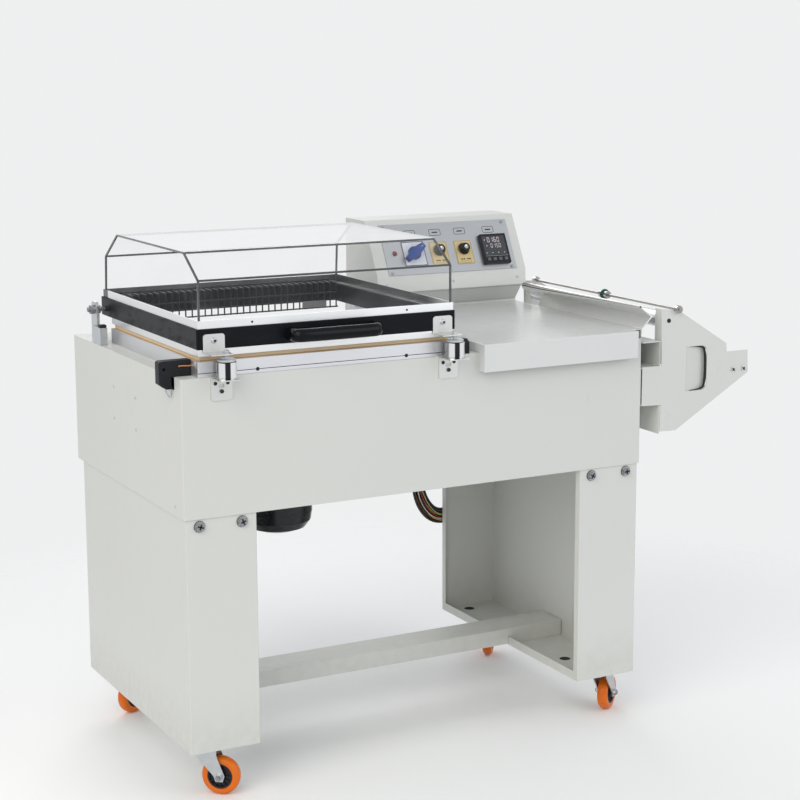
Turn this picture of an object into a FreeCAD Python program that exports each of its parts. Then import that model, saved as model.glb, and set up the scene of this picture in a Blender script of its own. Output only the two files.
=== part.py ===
import FreeCAD, Part
import math
import os
import re
import Sketcher
from FreeCAD import Placement, Rotation, Vector

# Shrink wrapping machine: an L-seal cutter and hot air chamber under one hood, on four casters.
# X runs from the chamber side to the film side, Y from front to back, Z up, in millimetres.
# Inside the functions every place is counted from the cabinet's front left corner and the floor;
# each finished piece is then shifted so that the origin lies on the floor under the middle.

doc = FreeCAD.newDocument("ShrinkWrapper")
sheet = doc.addObject("Spreadsheet::Sheet", "Sizes")

# Driving dimensions, in the order in which the machine is put together
SIZES = {
    # sheet metal cabinet
    "cab_wide": 1000, "cab_deep": 608, "cab_tall": 261, "cab_wall": 2,
    # casters
    "caster_tall": 100, "caster_inset": 55, "wheel_dia": 75, "wheel_wide": 24, "trail": 28,
    "caster_plate_wide": 76, "caster_plate_deep": 64, "caster_plate_thick": 2.5, "kingpin_dia": 10,
    "axle_dia": 8, "fork_thick": 2.5, "fork_crown_dia": 50, "race_tall": 6,
    # legs and cross bar
    "leg_tall": 450, "leg_wide": 140, "leg_deep": 581.5, "leg_side_inset": 3.5, "leg_front_inset": 2.5,
    "leg_wall": 2, "leg_lip": 16, "leg_floor_lip": 18, "leg_hole_dia": 24, "leg_bolt_dia": 10,
    "bolt_drop": 14,
    "bar_deep": 80, "bar_tall": 35, "bar_wall": 2, "bar_front": 280,
    # chamber under the lid
    "tub_left": 72, "tub_wide": 470, "tub_front": 52, "tub_deep": 456, "tub_depth": 205,
    "tub_wall": 1.5, "tub_rim": 9, "tray_drop": 45, "tray_wire": 4, "tray_pitch": 24,
    # blower in the chamber floor
    "fan_dia": 300, "fan_tall": 52, "fan_disc": 2, "blade_thick": 1.6, "hub_dia": 44, "shaft_dia": 16,
    "fan_lift": 10, "motor_dia": 142, "motor_drop": 116, "heater_dia": 10,
    # L-shaped sealing bars
    "seal_left": 34, "seal_front": 2, "seal_long": 541, "seal_side_long": 470,
    "seal_bar_wide": 28, "seal_bar_tall": 29,
    "tape_wide": 15, "tape_thick": 0.5, "lid_gap": 0.3, "block_out": 28,
    # lid frame and hood
    "lid_left": 33, "lid_wide": 531, "lid_deep": 525, "lid_bar": 25, "lid_tall": 37,
    "rail_tall": 13, "rail_wide": 18, "strip_tall": 8.2, "strip_wide": 10,
    "angle_leg": 20, "angle_tall": 15, "angle_thick": 2, "angle_inset": 3,
    "hood_wall": 4, "hood_rise": 133, "hood_front_shoulder": 85, "hood_back_shoulder": 80,
    "hood_top_front": 72, "hood_top_back": 437, "hood_fit": 0.3,
    "handle_left": 205, "handle_wide": 190, "handle_out": 43, "handle_thick": 20, "handle_tall": 26,
    "handle_up": 4,
    "guard_wire": 3, "guard_pitch": 14, "guard_in": 35,
    # hinge
    "hinge_back": 503, "hinge_up": 65, "hinge_pin_dia": 10, "post_thick": 15, "post_deep": 52,
    "post_tall": 35, "ear_thick": 6, "ear_wide": 34,
    # holding magnets
    "magnet_left": 78, "magnet_right": 548, "magnet_out": 26, "magnet_dia": 38, "magnet_tall": 31,
    "shelf_wide": 42, "shelf_out": 47, "shelf_drop": 44, "shelf_thick": 2, "disc_dia": 34,
    "disc_thick": 5,
    # worktable and film guide
    "table_wide": 383, "table_up": 19, "table_lip_out": 22, "table_lip_tall": 55, "table_back": 500,
    "table_lip_short": 22, "table_sheet": 1.5, "guide_sheet": 1.5, "guide_tip_out": 27,
    "guide_tip_up": 24, "guide_top_up": 47, "guide_deep": 400, "guide_lean": 32, "guide_roll": 8,
    "guide_foot": 10,
    # film stand; the rollers' places are counted from the cabinet's right side and from the deck
    "channel_wide": 50, "channel_low": -141, "channel_high": -63,
    "guide_roller_x": 68, "guide_roller_up": 31, "outer_roller_x": 200, "outer_roller_up": -81,
    "inner_roller_x": 70, "inner_roller_up": -171, "punch_x": 87, "punch_notch_up": 51, "tie_up": -90,
    "stand_near": 0, "stand_far": 545, "stand_sheet": 2, "stand_out": 275, "stand_flange": 25,
    "roller_dia": 34, "journal_dia": 11, "rod_dia": 6, "pin_wheel_dia": 26, "pin_wheel_at": 267,
    # control box, at the cabinet's right side
    "box_wide": 372, "box_back": 610, "box_top_up": 214, "box_top_deep": 92, "box_overhang": 153,
    "box_sheet": 2, "plate_in": 29, "plate_wide": 320, "plate_long": 118, "plate_thick": 2,
    "spindle_dia": 8, "knob_long": 18, "key_travel": 0.6, "dial_plate_thick": 1,
    # wire loom under the cabinet
    "loom_dia": 20, "loom_back": 596, "loom_left_in": 194, "loom_right_in": 50,
    # clearances between pieces that move and pieces that don't
    "run_fit": 0.1, "part_gap": 0.3, "front_reach": 47,
}

# Places that many pieces share, as formulas in those sizes
LEG_TOP = "(caster_tall + leg_tall)"
DECK = "(caster_tall + leg_tall + cab_tall)"
SEAL_TOP = "(caster_tall + leg_tall + cab_tall + seal_bar_tall)"
STRIP_LOW = f"({SEAL_TOP} + tape_thick + lid_gap)"
RAIL_LOW = f"({STRIP_LOW} + strip_tall)"
LID_LOW = f"({RAIL_LOW} + rail_tall)"
LID_TOP = f"({LID_LOW} + lid_tall)"
HOOD_LOW = f"({LID_TOP} + angle_thick)"
TUB_MID_X = "(tub_left + tub_wide / 2)"
TUB_MID_Y = "(tub_front + tub_deep / 2)"
TUB_FLOOR = f"({DECK} - tub_depth)"
TABLE_TOP = f"({DECK} + table_up)"
REACH = "(cab_wide + stand_out)"
TABLE_LEFT = "(cab_wide - table_wide)"
BOX_LEFT = "(cab_wide - box_wide)"
PLATE_LEFT = "(cab_wide - box_wide + plate_in)"
LOOM_ENDS = ("(cab_wide - loom_left_in)", "(cab_wide - loom_right_in)")
MID_X = "(cab_wide + stand_out - block_out) / 2"
MID_Y = "(box_back - front_reach) / 2"


def fill_sheet():
    """One row per driving size: its name and its value."""
    for row, (alias, value) in enumerate(SIZES.items(), start=1):
        sheet.set(f"A{row}", alias)
        sheet.set(f"B{row}", str(value))
        sheet.setAlias(f"B{row}", alias)
    doc.recompute()


def formula(text):
    """The text with every size's name turned into its cell."""
    return re.sub(r"[a-z_]+", lambda word: "Sizes." + word.group() if word.group() in SIZES
                  else word.group(), str(text))


def number(text):
    """What a formula comes to now."""
    return float(sheet.evalExpression(formula(text)))


def bind(thing, prop, text):
    thing.setExpression(prop, formula(text))


def seat(thing, x=0, y=0, z=0):
    for letter, text in (("x", x), ("y", y), ("z", z)):
        bind(thing, f"Placement.Base.{letter}", text)


def box(x, y, z, wide, deep, tall):
    solid = doc.addObject("Part::Box", "Block")
    for prop, text in (("Length", wide), ("Width", deep), ("Height", tall)):
        bind(solid, prop, text)
    seat(solid, x, y, z)
    return solid


TURNS = {"x": Rotation(Vector(0, 1, 0), 90), "y": Rotation(Vector(1, 0, 0), -90), "z": Rotation()}


def rod(axis, x, y, z, dia, long):
    """A round bar that starts at a place and runs along an axis."""
    solid = doc.addObject("Part::Cylinder", "Round")
    solid.Placement = Placement(Vector(), TURNS[axis])
    bind(solid, "Radius", f"({dia}) / 2")
    bind(solid, "Height", long)
    seat(solid, x, y, z)
    return solid


def join(*pieces):
    whole = doc.addObject("Part::MultiFuse", "Joined")
    whole.Shapes = list(pieces)
    return whole


def cut(stock, *tools):
    rest = doc.addObject("Part::Cut", "Cut")
    rest.Base = stock
    rest.Tool = tools[0] if len(tools) == 1 else join(*tools)
    return rest


def group(*pieces):
    together = doc.addObject("Part::Compound", "Group")
    together.Links = list(pieces)
    return together


def node(name, thing, x="0", y="0", z="0", turn=0):
    """Names a finished sub-part and moves it to the machine's own origin."""
    thing.Label = name
    thing.Placement = Placement(Vector(), Rotation(Vector(0, 0, 1), turn))
    seat(thing, f"{x} - {MID_X}", f"{y} - {MID_Y}", z)
    return thing


PLANES = {"x": "YZ_Plane", "y": "XZ_Plane", "z": "XY_Plane"}


def new_body(name):
    return doc.addObject("PartDesign::Body", name)


def hold(sketch, where, value, text):
    """Fixes one coordinate of a sketch point, counted from the sketch's origin."""
    kind, geometry, point = where
    index = sketch.addConstraint(Sketcher.Constraint(kind, -1, 1, geometry, point, value))
    bind(sketch, f"Constraints[{index}]", text)


def sketch_on(body, axis, at, loops):
    """A sketch across an axis; each loop is a list of corners or one circle (u, v, diameter)."""
    sketch = body.newObject("Sketcher::SketchObject", "Sketch")
    plane = next(f for f in body.Origin.OriginFeatures if f.Role == PLANES[axis])
    sketch.AttachmentSupport = [(plane, "")]
    sketch.MapMode = "FlatFace"
    bind(sketch, "AttachmentOffset.Base.z", f"-({at})" if axis == "y" else at)
    for loop in loops:
        first = sketch.GeometryCount
        if isinstance(loop, tuple):
            u, v, dia = loop
            centre = Vector(number(u), number(v), 0)
            sketch.addGeometry(Part.Circle(centre, Vector(0, 0, 1), number(dia) / 2))
            hold(sketch, ("DistanceX", first, 3), centre.x, u)
            hold(sketch, ("DistanceY", first, 3), centre.y, v)
            index = sketch.addConstraint(Sketcher.Constraint("Diameter", first, number(dia)))
            bind(sketch, f"Constraints[{index}]", dia)
            continue
        corners = [Vector(number(u), number(v), 0) for u, v in loop]
        count = len(corners)
        for k in range(count):
            sketch.addGeometry(Part.LineSegment(corners[k], corners[(k + 1) % count]))
        for k in range(count):
            after = first + (k + 1) % count
            sketch.addConstraint(Sketcher.Constraint("Coincident", first + k, 2, after, 1))
        for k, (u, v) in enumerate(loop):
            hold(sketch, ("DistanceX", first + k, 1), corners[k].x, u)
            hold(sketch, ("DistanceY", first + k, 1), corners[k].y, v)
    return sketch


def pad(body, axis, start, long, *loops):
    feature = body.newObject("PartDesign::Pad", "Pad")
    feature.Profile = sketch_on(body, axis, start, loops)
    bind(feature, "Length", long)
    feature.Reversed = axis == "y"
    return feature


def pocket(body, axis, start, long, *loops):
    feature = body.newObject("PartDesign::Pocket", "Pocket")
    feature.Profile = sketch_on(body, axis, start, loops)
    bind(feature, "Length", long)
    feature.Reversed = axis != "y"
    return feature


def rect(u, v, wide, tall):
    return [(u, v), (f"{u} + {wide}", v), (f"{u} + {wide}", f"{v} + {tall}"), (u, f"{v} + {tall}")]


def along(axis):
    """Picks the straight edges that run along an axis."""
    way = {"x": Vector(1, 0, 0), "y": Vector(0, 1, 0), "z": Vector(0, 0, 1)}[axis]

    def pick(edge):
        if edge.Curve.TypeId != "Part::GeomLine":
            return False
        return abs(edge.tangentAt(edge.FirstParameter).dot(way)) > 0.999
    return pick


def at_corner(box_shape, point):
    """True when a point lies on two of the outer sides of a shape's box, seen from above."""
    on_x = min(abs(point.x - box_shape.XMin), abs(point.x - box_shape.XMax)) < 0.01
    on_y = min(abs(point.y - box_shape.YMin), abs(point.y - box_shape.YMax)) < 0.01
    return on_x and on_y


def round_edges(body, radius, pick):
    """Rounds the edges of a body's last feature that a test picks."""
    doc.recompute()
    last = body.Tip
    names = [f"Edge{k}" for k, edge in enumerate(last.Shape.Edges, start=1) if pick(edge)]
    feature = body.newObject("PartDesign::Fillet", "Fillet")
    feature.Base = (last, names)
    bind(feature, "Radius", radius)
    return feature


def hollow(body, wall, pick):
    """Turns a body into a shell, open at the faces that a test picks."""
    doc.recompute()
    last = body.Tip
    names = [f"Face{k}" for k, face in enumerate(last.Shape.Faces, start=1) if pick(face)]
    feature = body.newObject("PartDesign::Thickness", "Shell")
    feature.Base = (last, names)
    bind(feature, "Value", wall)
    feature.Reversed = True
    feature.Join = 1
    return feature


def repeat(body, feature, axis, step_count, span):
    """Repeats a feature evenly over a distance along one of the body's own axes."""
    pattern = body.newObject("PartDesign::LinearPattern", "Row")
    pattern.Originals = [feature]
    line = next(f for f in body.Origin.OriginFeatures if f.Role == axis.upper() + "_Axis")
    pattern.Direction = (line, [""])
    bind(pattern, "Length", span)
    pattern.Occurrences = step_count
    body.Tip = pattern
    return pattern


def bent_bar(points, dia, bend=None):
    """Round bar along straight runs and tangent arcs; without a bend the arcs are as large as fits."""
    edges, radii, here = [], [], points[0]
    for before, corner, after in zip(points, points[1:], points[2:]):
        way_in, way_out = (corner - before).normalize(), (after - corner).normalize()
        half_turn = way_in.getAngle(way_out) / 2
        short = min((corner - before).Length, (after - corner).Length)
        radius = bend or 0.45 * short / math.tan(half_turn)
        reach = radius * math.tan(half_turn)
        start, stop = corner - way_in * reach, corner + way_out * reach
        inward = (way_out - way_in).normalize()
        middle = corner + inward * (radius / math.cos(half_turn) - radius)
        edges += [Part.LineSegment(here, start).toShape(), Part.Arc(start, middle, stop).toShape()]
        radii.append(round(radius, 1))
        here = stop
    edges.append(Part.LineSegment(here, points[-1]).toShape())
    path = Part.Wire(edges)
    ring = Part.Wire([Part.Circle(points[0], points[1] - points[0], dia / 2).toShape()])
    return path.makePipeShell([ring], True, False), path, radii


# Running gear

CASTERS = {
    "front_left": ("caster_inset", "caster_inset", -40),
    "front_right": ("cab_wide - caster_inset + 10", "caster_inset", 38),
    "rear_left": ("caster_inset", "cab_deep - caster_inset - 22", 25),
    "rear_right": ("cab_wide - caster_inset + 10", "cab_deep - caster_inset - 22", -127),
}


def caster_plate():
    """Top plate with its fixed race and the kingpin that the fork turns on."""
    low = "caster_tall - caster_plate_thick"
    plate = box("-caster_plate_wide / 2", "-caster_plate_deep / 2", low,
                "caster_plate_wide", "caster_plate_deep", "caster_plate_thick")
    race = doc.addObject("Part::Cone", "Race")
    bind(race, "Radius1", "fork_crown_dia / 2 - 5")
    bind(race, "Radius2", "fork_crown_dia / 2")
    bind(race, "Height", "race_tall")
    seat(race, z=f"{low} - race_tall")
    pin = rod("z", 0, 0, f"{low} - race_tall - fork_thick - 2 * part_gap - 2.5", "kingpin_dia",
              "race_tall + fork_thick + 2 * part_gap + 3")
    head = rod("z", 0, 0, f"{low} - race_tall - fork_thick - 2 * part_gap - 2.5", "kingpin_dia + 8",
               "2.5")
    return join(plate, race, pin, head)


def caster_fork():
    """Pressed fork: a round crown, two slanting cheeks and the axle bolt across them."""
    crown_top = "(caster_tall - caster_plate_thick - race_tall - part_gap)"
    crown_low = f"({crown_top} - fork_thick)"
    half = "(wheel_wide / 2 + 2 + fork_thick)"
    axle_up = "(wheel_dia / 2)"
    fork = new_body("Fork")
    pad(fork, "z", crown_low, "fork_thick", ("0", "0", "fork_crown_dia"))
    cheek = [("-fork_crown_dia / 2 + 4", crown_top), ("-fork_crown_dia / 2 + 4", f"{crown_low} - 6"),
             ("trail - 11", f"{axle_up} + 2"), ("trail - 7", f"{axle_up} - 9"),
             ("trail + 7", f"{axle_up} - 9"), ("trail + 11", f"{axle_up} + 2"),
             ("fork_crown_dia / 2 - 2", f"{crown_low} - 8"), ("fork_crown_dia / 2 - 2", crown_top)]
    pad(fork, "y", f"-{half}", f"2 * {half}", cheek)
    pocket(fork, "y", f"-{half} + fork_thick", f"2 * ({half} - fork_thick)",
           rect("-fork_crown_dia", f"{axle_up} - 20", "3 * fork_crown_dia", f"{crown_low} - {axle_up} + 20"))
    pocket(fork, "z", f"{crown_low} - 1", "fork_thick + 2", ("0", "0", "kingpin_dia + 2 * run_fit"))
    bolt = rod("y", "trail", f"-{half} - 3", axle_up, "axle_dia", f"2 * {half} + 6")
    near_nut = rod("y", "trail", f"-{half} - 5", axle_up, "axle_dia + 6", "5")
    far_nut = rod("y", "trail", half, axle_up, "axle_dia + 6", "5")
    return join(fork, bolt, near_nut, far_nut)


def caster_wheel():
    """Cast wheel: crowned tread, dished web and a hub with a bore that runs on the axle bolt."""
    wheel = new_body("Wheel")
    radius, half = "wheel_dia / 2", "wheel_wide / 2"
    profile = [("axle_dia / 2 + run_fit", f"-{half}"), ("axle_dia / 2 + 6", f"-{half}"),
               ("axle_dia / 2 + 8", f"-{half} + 5"), (f"{radius} - 12", f"-{half} + 5"),
               (f"{radius} - 10", f"-{half} + 1"), (f"{radius} - 4", f"-{half} + 1"),
               (radius, f"-{half} + 6"), (radius, f"{half} - 6"),
               (f"{radius} - 4", f"{half} - 1"), (f"{radius} - 10", f"{half} - 1"),
               (f"{radius} - 12", f"{half} - 5"), ("axle_dia / 2 + 8", f"{half} - 5"),
               ("axle_dia / 2 + 6", half), ("axle_dia / 2 + run_fit", half)]
    turn = wheel.newObject("PartDesign::Revolution", "Turned")
    turn.Profile = sketch_on(wheel, "z", "0", [profile])
    axis = next(f for f in wheel.Origin.OriginFeatures if f.Role == "Y_Axis")
    turn.ReferenceAxis = (axis, [""])
    turn.Angle = 360
    return wheel


def add_casters():
    plate, fork, wheel = caster_plate(), caster_fork(), caster_wheel()
    plates = []
    for place, (x, y, turn) in CASTERS.items():
        top = group(plate)
        seat(top, x, y, 0)
        plates.append(top)
        node(f"fork_{place}", group(fork), x, y, turn=turn)
        way = math.radians(turn)
        node(f"wheel_{place}", group(wheel), f"{x} + trail * {math.cos(way)}",
             f"{y} + trail * {math.sin(way)}", "wheel_dia / 2", turn=turn)
    node("caster_plates", group(*plates))


# Frame

def leg_bolts(outer):
    """Where the two bolts of a leg sit along the machine."""
    return f"{outer} + 27", f"{outer} + leg_wide - 29"


def add_leg(name, outer, inner_side):
    """Folded sheet leg, open towards the middle, with return lips round the opening."""
    leg = new_body(name)
    front, up = "leg_front_inset", "caster_tall"
    pad(leg, "z", up, "leg_tall", rect(outer, front, "leg_wide", "leg_deep"))
    round_edges(leg, "leg_wall",
                lambda e: along("z")(e) and at_corner(leg.Tip.Shape.BoundBox, e.CenterOfMass))
    pocket(leg, "z", f"{up} + leg_wall", "leg_tall",
           rect(f"{outer} + leg_wall", f"{front} + leg_wall",
                "leg_wide - 2 * leg_wall", "leg_deep - 2 * leg_wall"))
    wall_at = f"{outer} + leg_wide - leg_wall - 1" if inner_side > 0 else f"{outer} - 1"
    pocket(leg, "x", wall_at, "leg_wall + 2",
           rect(f"{front} + leg_lip", f"{up} + leg_floor_lip", "leg_deep - 2 * leg_lip", "leg_tall"))
    across = f"{outer} + leg_wide / 2 - 15"
    pocket(leg, "z", f"{up} - 1", "leg_wall + 2", (across, f"{front} + 134", "leg_hole_dia"),
           (across, f"{front} + leg_deep - 32", "leg_hole_dia"))
    bolts = [(x, f"{LEG_TOP} - bolt_drop", "leg_bolt_dia + 1") for x in leg_bolts(outer)]
    pocket(leg, "y", f"{front} - 1", "leg_wall + 2", *bolts)
    node(name, leg)


def add_cross_bar():
    """Inverted channel between the legs, standing on both leg floors."""
    bar = new_body("cross_bar")
    start, long = "leg_side_inset + 2 * leg_wall", "cab_wide - 2 * (leg_side_inset + 2 * leg_wall)"
    low = "(caster_tall + leg_wall)"
    wall, top = "bar_wall", f"({low} + bar_tall)"
    inner, back = "bar_front + bar_wall", "(bar_front + bar_deep)"
    channel = [("bar_front", low), ("bar_front", top), (back, top), (back, low),
               (f"{back} - {wall}", low), (f"{back} - {wall}", f"{top} - {wall}"),
               (inner, f"{top} - {wall}"), (inner, low)]
    pad(bar, "x", start, long, channel)
    # notched where it passes over the raised floor lips of the legs
    for lip in ("leg_side_inset + leg_wide - leg_wall - 1", "cab_wide - leg_side_inset - leg_wide - 1"):
        pocket(bar, "x", lip, "leg_wall + 2",
               rect("bar_front - 1", f"{low} - 1", "bar_deep + 2", "leg_floor_lip"))
    node("cross_bar", bar)


def pan_bolt(x, y, z):
    """Washer, low head and shank of a bolt put in from the front."""
    washer = rod("y", x, f"{y} - 2", z, "leg_bolt_dia + 11", "2")
    head = rod("y", x, f"{y} - 7", z, "leg_bolt_dia + 5", "5")
    shank = rod("y", x, y, z, "leg_bolt_dia", "16")
    return join(washer, head, shank)


def add_frame_bolts():
    """Bolts that hold the legs to the cabinet, and the four screws of the panel plate."""
    places = leg_bolts("leg_side_inset") + leg_bolts("cab_wide - leg_side_inset - leg_wide")
    bolts = [pan_bolt(x, "leg_front_inset", f"{LEG_TOP} - bolt_drop") for x in places]
    screws = [rod("z", x, y, "plate_thick", "7", "2")
              for x in ("9", "plate_wide - 11") for y in ("5", "plate_long - 6")]
    plate_screws = group(*screws)
    lay_on_slope(plate_screws, PLATE_LEFT, "1")
    node("screws", group(plate_screws, *bolts))


# Cabinet

def add_cabinet():
    """Skin of the upper cabinet: four sides and the deck, with the chamber's hole and a notch."""
    cab = new_body("cabinet_shell")
    pad(cab, "z", LEG_TOP, "cab_tall", rect("0", "0", "cab_wide", "cab_deep"))
    round_edges(cab, "cab_wall", lambda e: along("z")(e))
    pocket(cab, "z", f"{LEG_TOP} - 1", "cab_tall - cab_wall + 1",
           rect("cab_wall", "cab_wall", "cab_wide - 2 * cab_wall", "cab_deep - 2 * cab_wall"))
    pocket(cab, "z", f"{DECK} - cab_wall - 1", "cab_wall + 2",
           rect("tub_left", "tub_front", "tub_wide", "tub_deep"))
    pocket(cab, "x", "-1", "cab_wall + 2",
           [("seal_front + 30", f"{DECK} + 1"), ("seal_front + 30", f"{DECK} - 24"),
            ("seal_front + 44", f"{DECK} - 24"), ("seal_front + 56", f"{DECK} - 10"),
            ("seal_front + 56", f"{DECK} + 1")])
    node("cabinet_shell", cab)


def add_bottom_pan():
    """Bottom sheet with four tabs bent down into the legs, which take the leg bolts."""
    pan = new_body("bottom_pan")
    fit = "(cab_wall + part_gap)"
    pad(pan, "z", LEG_TOP, "leg_wall", rect(fit, fit, f"cab_wide - 2 * {fit}", f"cab_deep - 2 * {fit}"))
    for x in ("leg_side_inset + 12", "cab_wide - leg_side_inset - leg_wide + 12"):
        pad(pan, "y", "leg_front_inset + leg_wall", "3", rect(x, f"{LEG_TOP} - 32", "leg_wide - 24", "33"))
    for outer in ("leg_side_inset", "cab_wide - leg_side_inset - leg_wide"):
        pocket(pan, "y", "leg_front_inset + leg_wall - 1", "5",
               *[(x, f"{LEG_TOP} - bolt_drop", "leg_bolt_dia") for x in leg_bolts(outer)])
    pocket(pan, "z", f"{LEG_TOP} - 1", "leg_wall + 2", (TUB_MID_X, TUB_MID_Y, "motor_dia - 40"))
    for x in LOOM_ENDS:
        pocket(pan, "z", f"{LEG_TOP} - 1", "leg_wall + 2", (x, "loom_back", "loom_dia - 1"))
    node("bottom_pan", pan)


def add_tub():
    """Shrink chamber: a deep tray that hangs in the deck by its rim."""
    tub = new_body("chamber_tub")
    fit = "part_gap"
    left, front = f"(tub_left + {fit})", f"(tub_front + {fit})"
    wide, deep = f"(tub_wide - 2 * {fit})", f"(tub_deep - 2 * {fit})"
    pad(tub, "z", TUB_FLOOR, "tub_depth", rect(left, front, wide, deep))
    pad(tub, "z", DECK, "tub_wall", rect("tub_left - tub_rim", "tub_front - tub_rim",
                                         "tub_wide + 2 * tub_rim", "tub_deep + 2 * tub_rim"))
    pocket(tub, "z", f"{TUB_FLOOR} + tub_wall", "tub_depth + tub_wall",
           rect(f"{left} + tub_wall", f"{front} + tub_wall",
                f"{wide} - 2 * tub_wall", f"{deep} - 2 * tub_wall"))
    pocket(tub, "z", f"{TUB_FLOOR} - 1", "tub_wall + 2", (TUB_MID_X, TUB_MID_Y, "shaft_dia + 8"))
    node("chamber_tub", tub)


def add_product_tray():
    """Welded wire tray that carries the goods, on two bent feet at its ends."""
    up = f"({DECK} - tray_drop)"
    tray = new_body("product_tray")
    left, front = "(tub_left + 6)", "(tub_front + 6)"
    wide, deep = "(tub_wide - 12)", "(tub_deep - 12)"
    first = pad(tray, "y", front, deep, (f"{left} + tray_wire", up, "tray_wire"))
    count = int(number(f"({wide} - 2 * tray_wire) / tray_pitch")) + 1
    repeat(tray, first, "x", count, f"{wide} - 2 * tray_wire")
    rows = [f"{front} + tray_wire + {k} * ({deep} - 2 * tray_wire) / 3" for k in range(4)]
    for at in rows:
        pad(tray, "x", left, wide, (at, f"{up} - tray_wire * 0.8", "tray_wire"))
    for at in (rows[0], rows[-1]):
        for x in (f"{left} + 20", f"{left} + {wide} - 20"):
            pad(tray, "z", f"{TUB_FLOOR} + tub_wall",
                "tub_depth - tray_drop - tub_wall - tray_wire * 0.8", (x, at, "tray_wire + 2"))
    node("product_tray", tray)


def add_blower():
    """Large fan wheel on the motor's shaft, between the chamber floor and the tray."""
    base = f"({TUB_FLOOR} + tub_wall + fan_lift)"
    wheel = new_body("fan_wheel")
    pad(wheel, "z", base, "fan_disc", ("0", "0", "fan_dia"))
    pad(wheel, "z", base, "fan_tall * 0.6", ("0", "0", "hub_dia"))
    blade = wheel.newObject("PartDesign::Pad", "Blade")
    blade.Profile = blade_sketch(wheel, f"{base} + fan_disc")
    bind(blade, "Length", "fan_tall - fan_disc")
    pattern = wheel.newObject("PartDesign::PolarPattern", "Blades")
    pattern.Originals = [blade]
    pattern.Axis = (next(f for f in wheel.Origin.OriginFeatures if f.Role == "Z_Axis"), [""])
    pattern.Angle = 360
    pattern.Occurrences = 12
    wheel.Tip = pattern
    pocket(wheel, "z", f"{base} - 1", "fan_tall", ("0", "0", "shaft_dia"))
    node("fan_wheel", wheel, TUB_MID_X, TUB_MID_Y)
    shaft_low = f"({LEG_TOP} - 20)"
    shaft = rod("z", 0, 0, shaft_low, "shaft_dia", f"{base} + fan_tall * 0.6 - {shaft_low}")
    nut = rod("z", 0, 0, f"{base} + fan_tall * 0.6", "shaft_dia + 8", "8")
    node("fan_shaft", join(shaft, nut), TUB_MID_X, TUB_MID_Y)


def blade_sketch(body, at):
    """Backward curved blade: two arcs about one centre, closed by short ends."""
    sketch = body.newObject("Sketcher::SketchObject", "BladeOutline")
    plane = next(f for f in body.Origin.OriginFeatures if f.Role == "XY_Plane")
    sketch.AttachmentSupport = [(plane, "")]
    sketch.MapMode = "FlatFace"
    bind(sketch, "AttachmentOffset.Base.z", at)
    inner, outer = number("hub_dia / 2 + 22"), number("fan_dia / 2 - 4")
    thick = number("blade_thick")
    sweep = math.radians(38)
    root = Vector(inner, 0, 0)
    tip = Vector(outer * math.cos(sweep), outer * math.sin(sweep), 0)
    middle = (root + tip) * 0.5
    side = Vector(root.y - tip.y, tip.x - root.x, 0).normalize()
    centre = middle + side * (tip - root).Length * 0.9
    radius = (root - centre).Length
    angles = [math.atan2(p.y - centre.y, p.x - centre.x) for p in (root, tip)]
    for away in (radius, radius + thick):
        circle = Part.Circle(centre, Vector(0, 0, 1), away)
        low, high = sorted(a % (2 * math.pi) for a in angles)
        sketch.addGeometry(Part.ArcOfCircle(circle, low, high))
    for end in (1, 2):
        ends = [sketch.getPoint(arc, end) for arc in (0, 1)]
        sketch.addGeometry(Part.LineSegment(*ends))
    for line, end in ((2, 1), (3, 2)):
        sketch.addConstraint(Sketcher.Constraint("Coincident", 0, end, line, 1))
        sketch.addConstraint(Sketcher.Constraint("Coincident", 1, end, line, 2))
    return sketch


def add_motor():
    """Fan motor: a finned can with a domed end, hung under the bottom sheet."""
    motor = new_body("fan_motor")
    radius, low = "motor_dia / 2", f"({LEG_TOP} - motor_drop)"
    profile = [("0", low), (f"{radius} - 34", low), (f"{radius} - 14", f"{low} + 7"),
               (f"{radius} - 3", f"{low} + 22"), (radius, f"{low} + 40"), (radius, f"{LEG_TOP} - 26"),
               (f"{radius} + 8", f"{LEG_TOP} - 26"), (f"{radius} + 8", LEG_TOP), ("0", LEG_TOP)]
    turn = motor.newObject("PartDesign::Revolution", "Turned")
    turn.Profile = sketch_on(motor, "y", "0", [profile])
    axis = next(f for f in motor.Origin.OriginFeatures if f.Role == "Z_Axis")
    turn.ReferenceAxis = (axis, [""])
    turn.Angle = 360
    pocket(motor, "z", f"{LEG_TOP} - 24", "30", ("0", "0", "shaft_dia + 2 * run_fit"))
    node("fan_motor", motor, TUB_MID_X, TUB_MID_Y)


def add_heaters():
    """Two hairpin heater tubes along the chamber's sides, with their ends in the front wall."""
    low, front = number(f"{TUB_FLOOR} + 45"), number("tub_front + part_gap + tub_wall")
    back = number("tub_front + tub_deep - 40")
    spread, dia = 30, number("heater_dia")
    tubes = []
    for x in (number("tub_left + 16"), number("tub_left + tub_wide - 16")):
        hairpin = [Vector(x, front, low), Vector(x, back, low), Vector(x, back, low + spread),
                   Vector(x, front, low + spread)]
        tubes.append(bent_bar(hairpin, dia, spread / 2 - 0.5)[0])
    feature = doc.addObject("Part::Feature", "Heaters")
    feature.Shape = Part.makeCompound(tubes)
    node("heater_tubes", feature)


# Sealing bars

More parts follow.
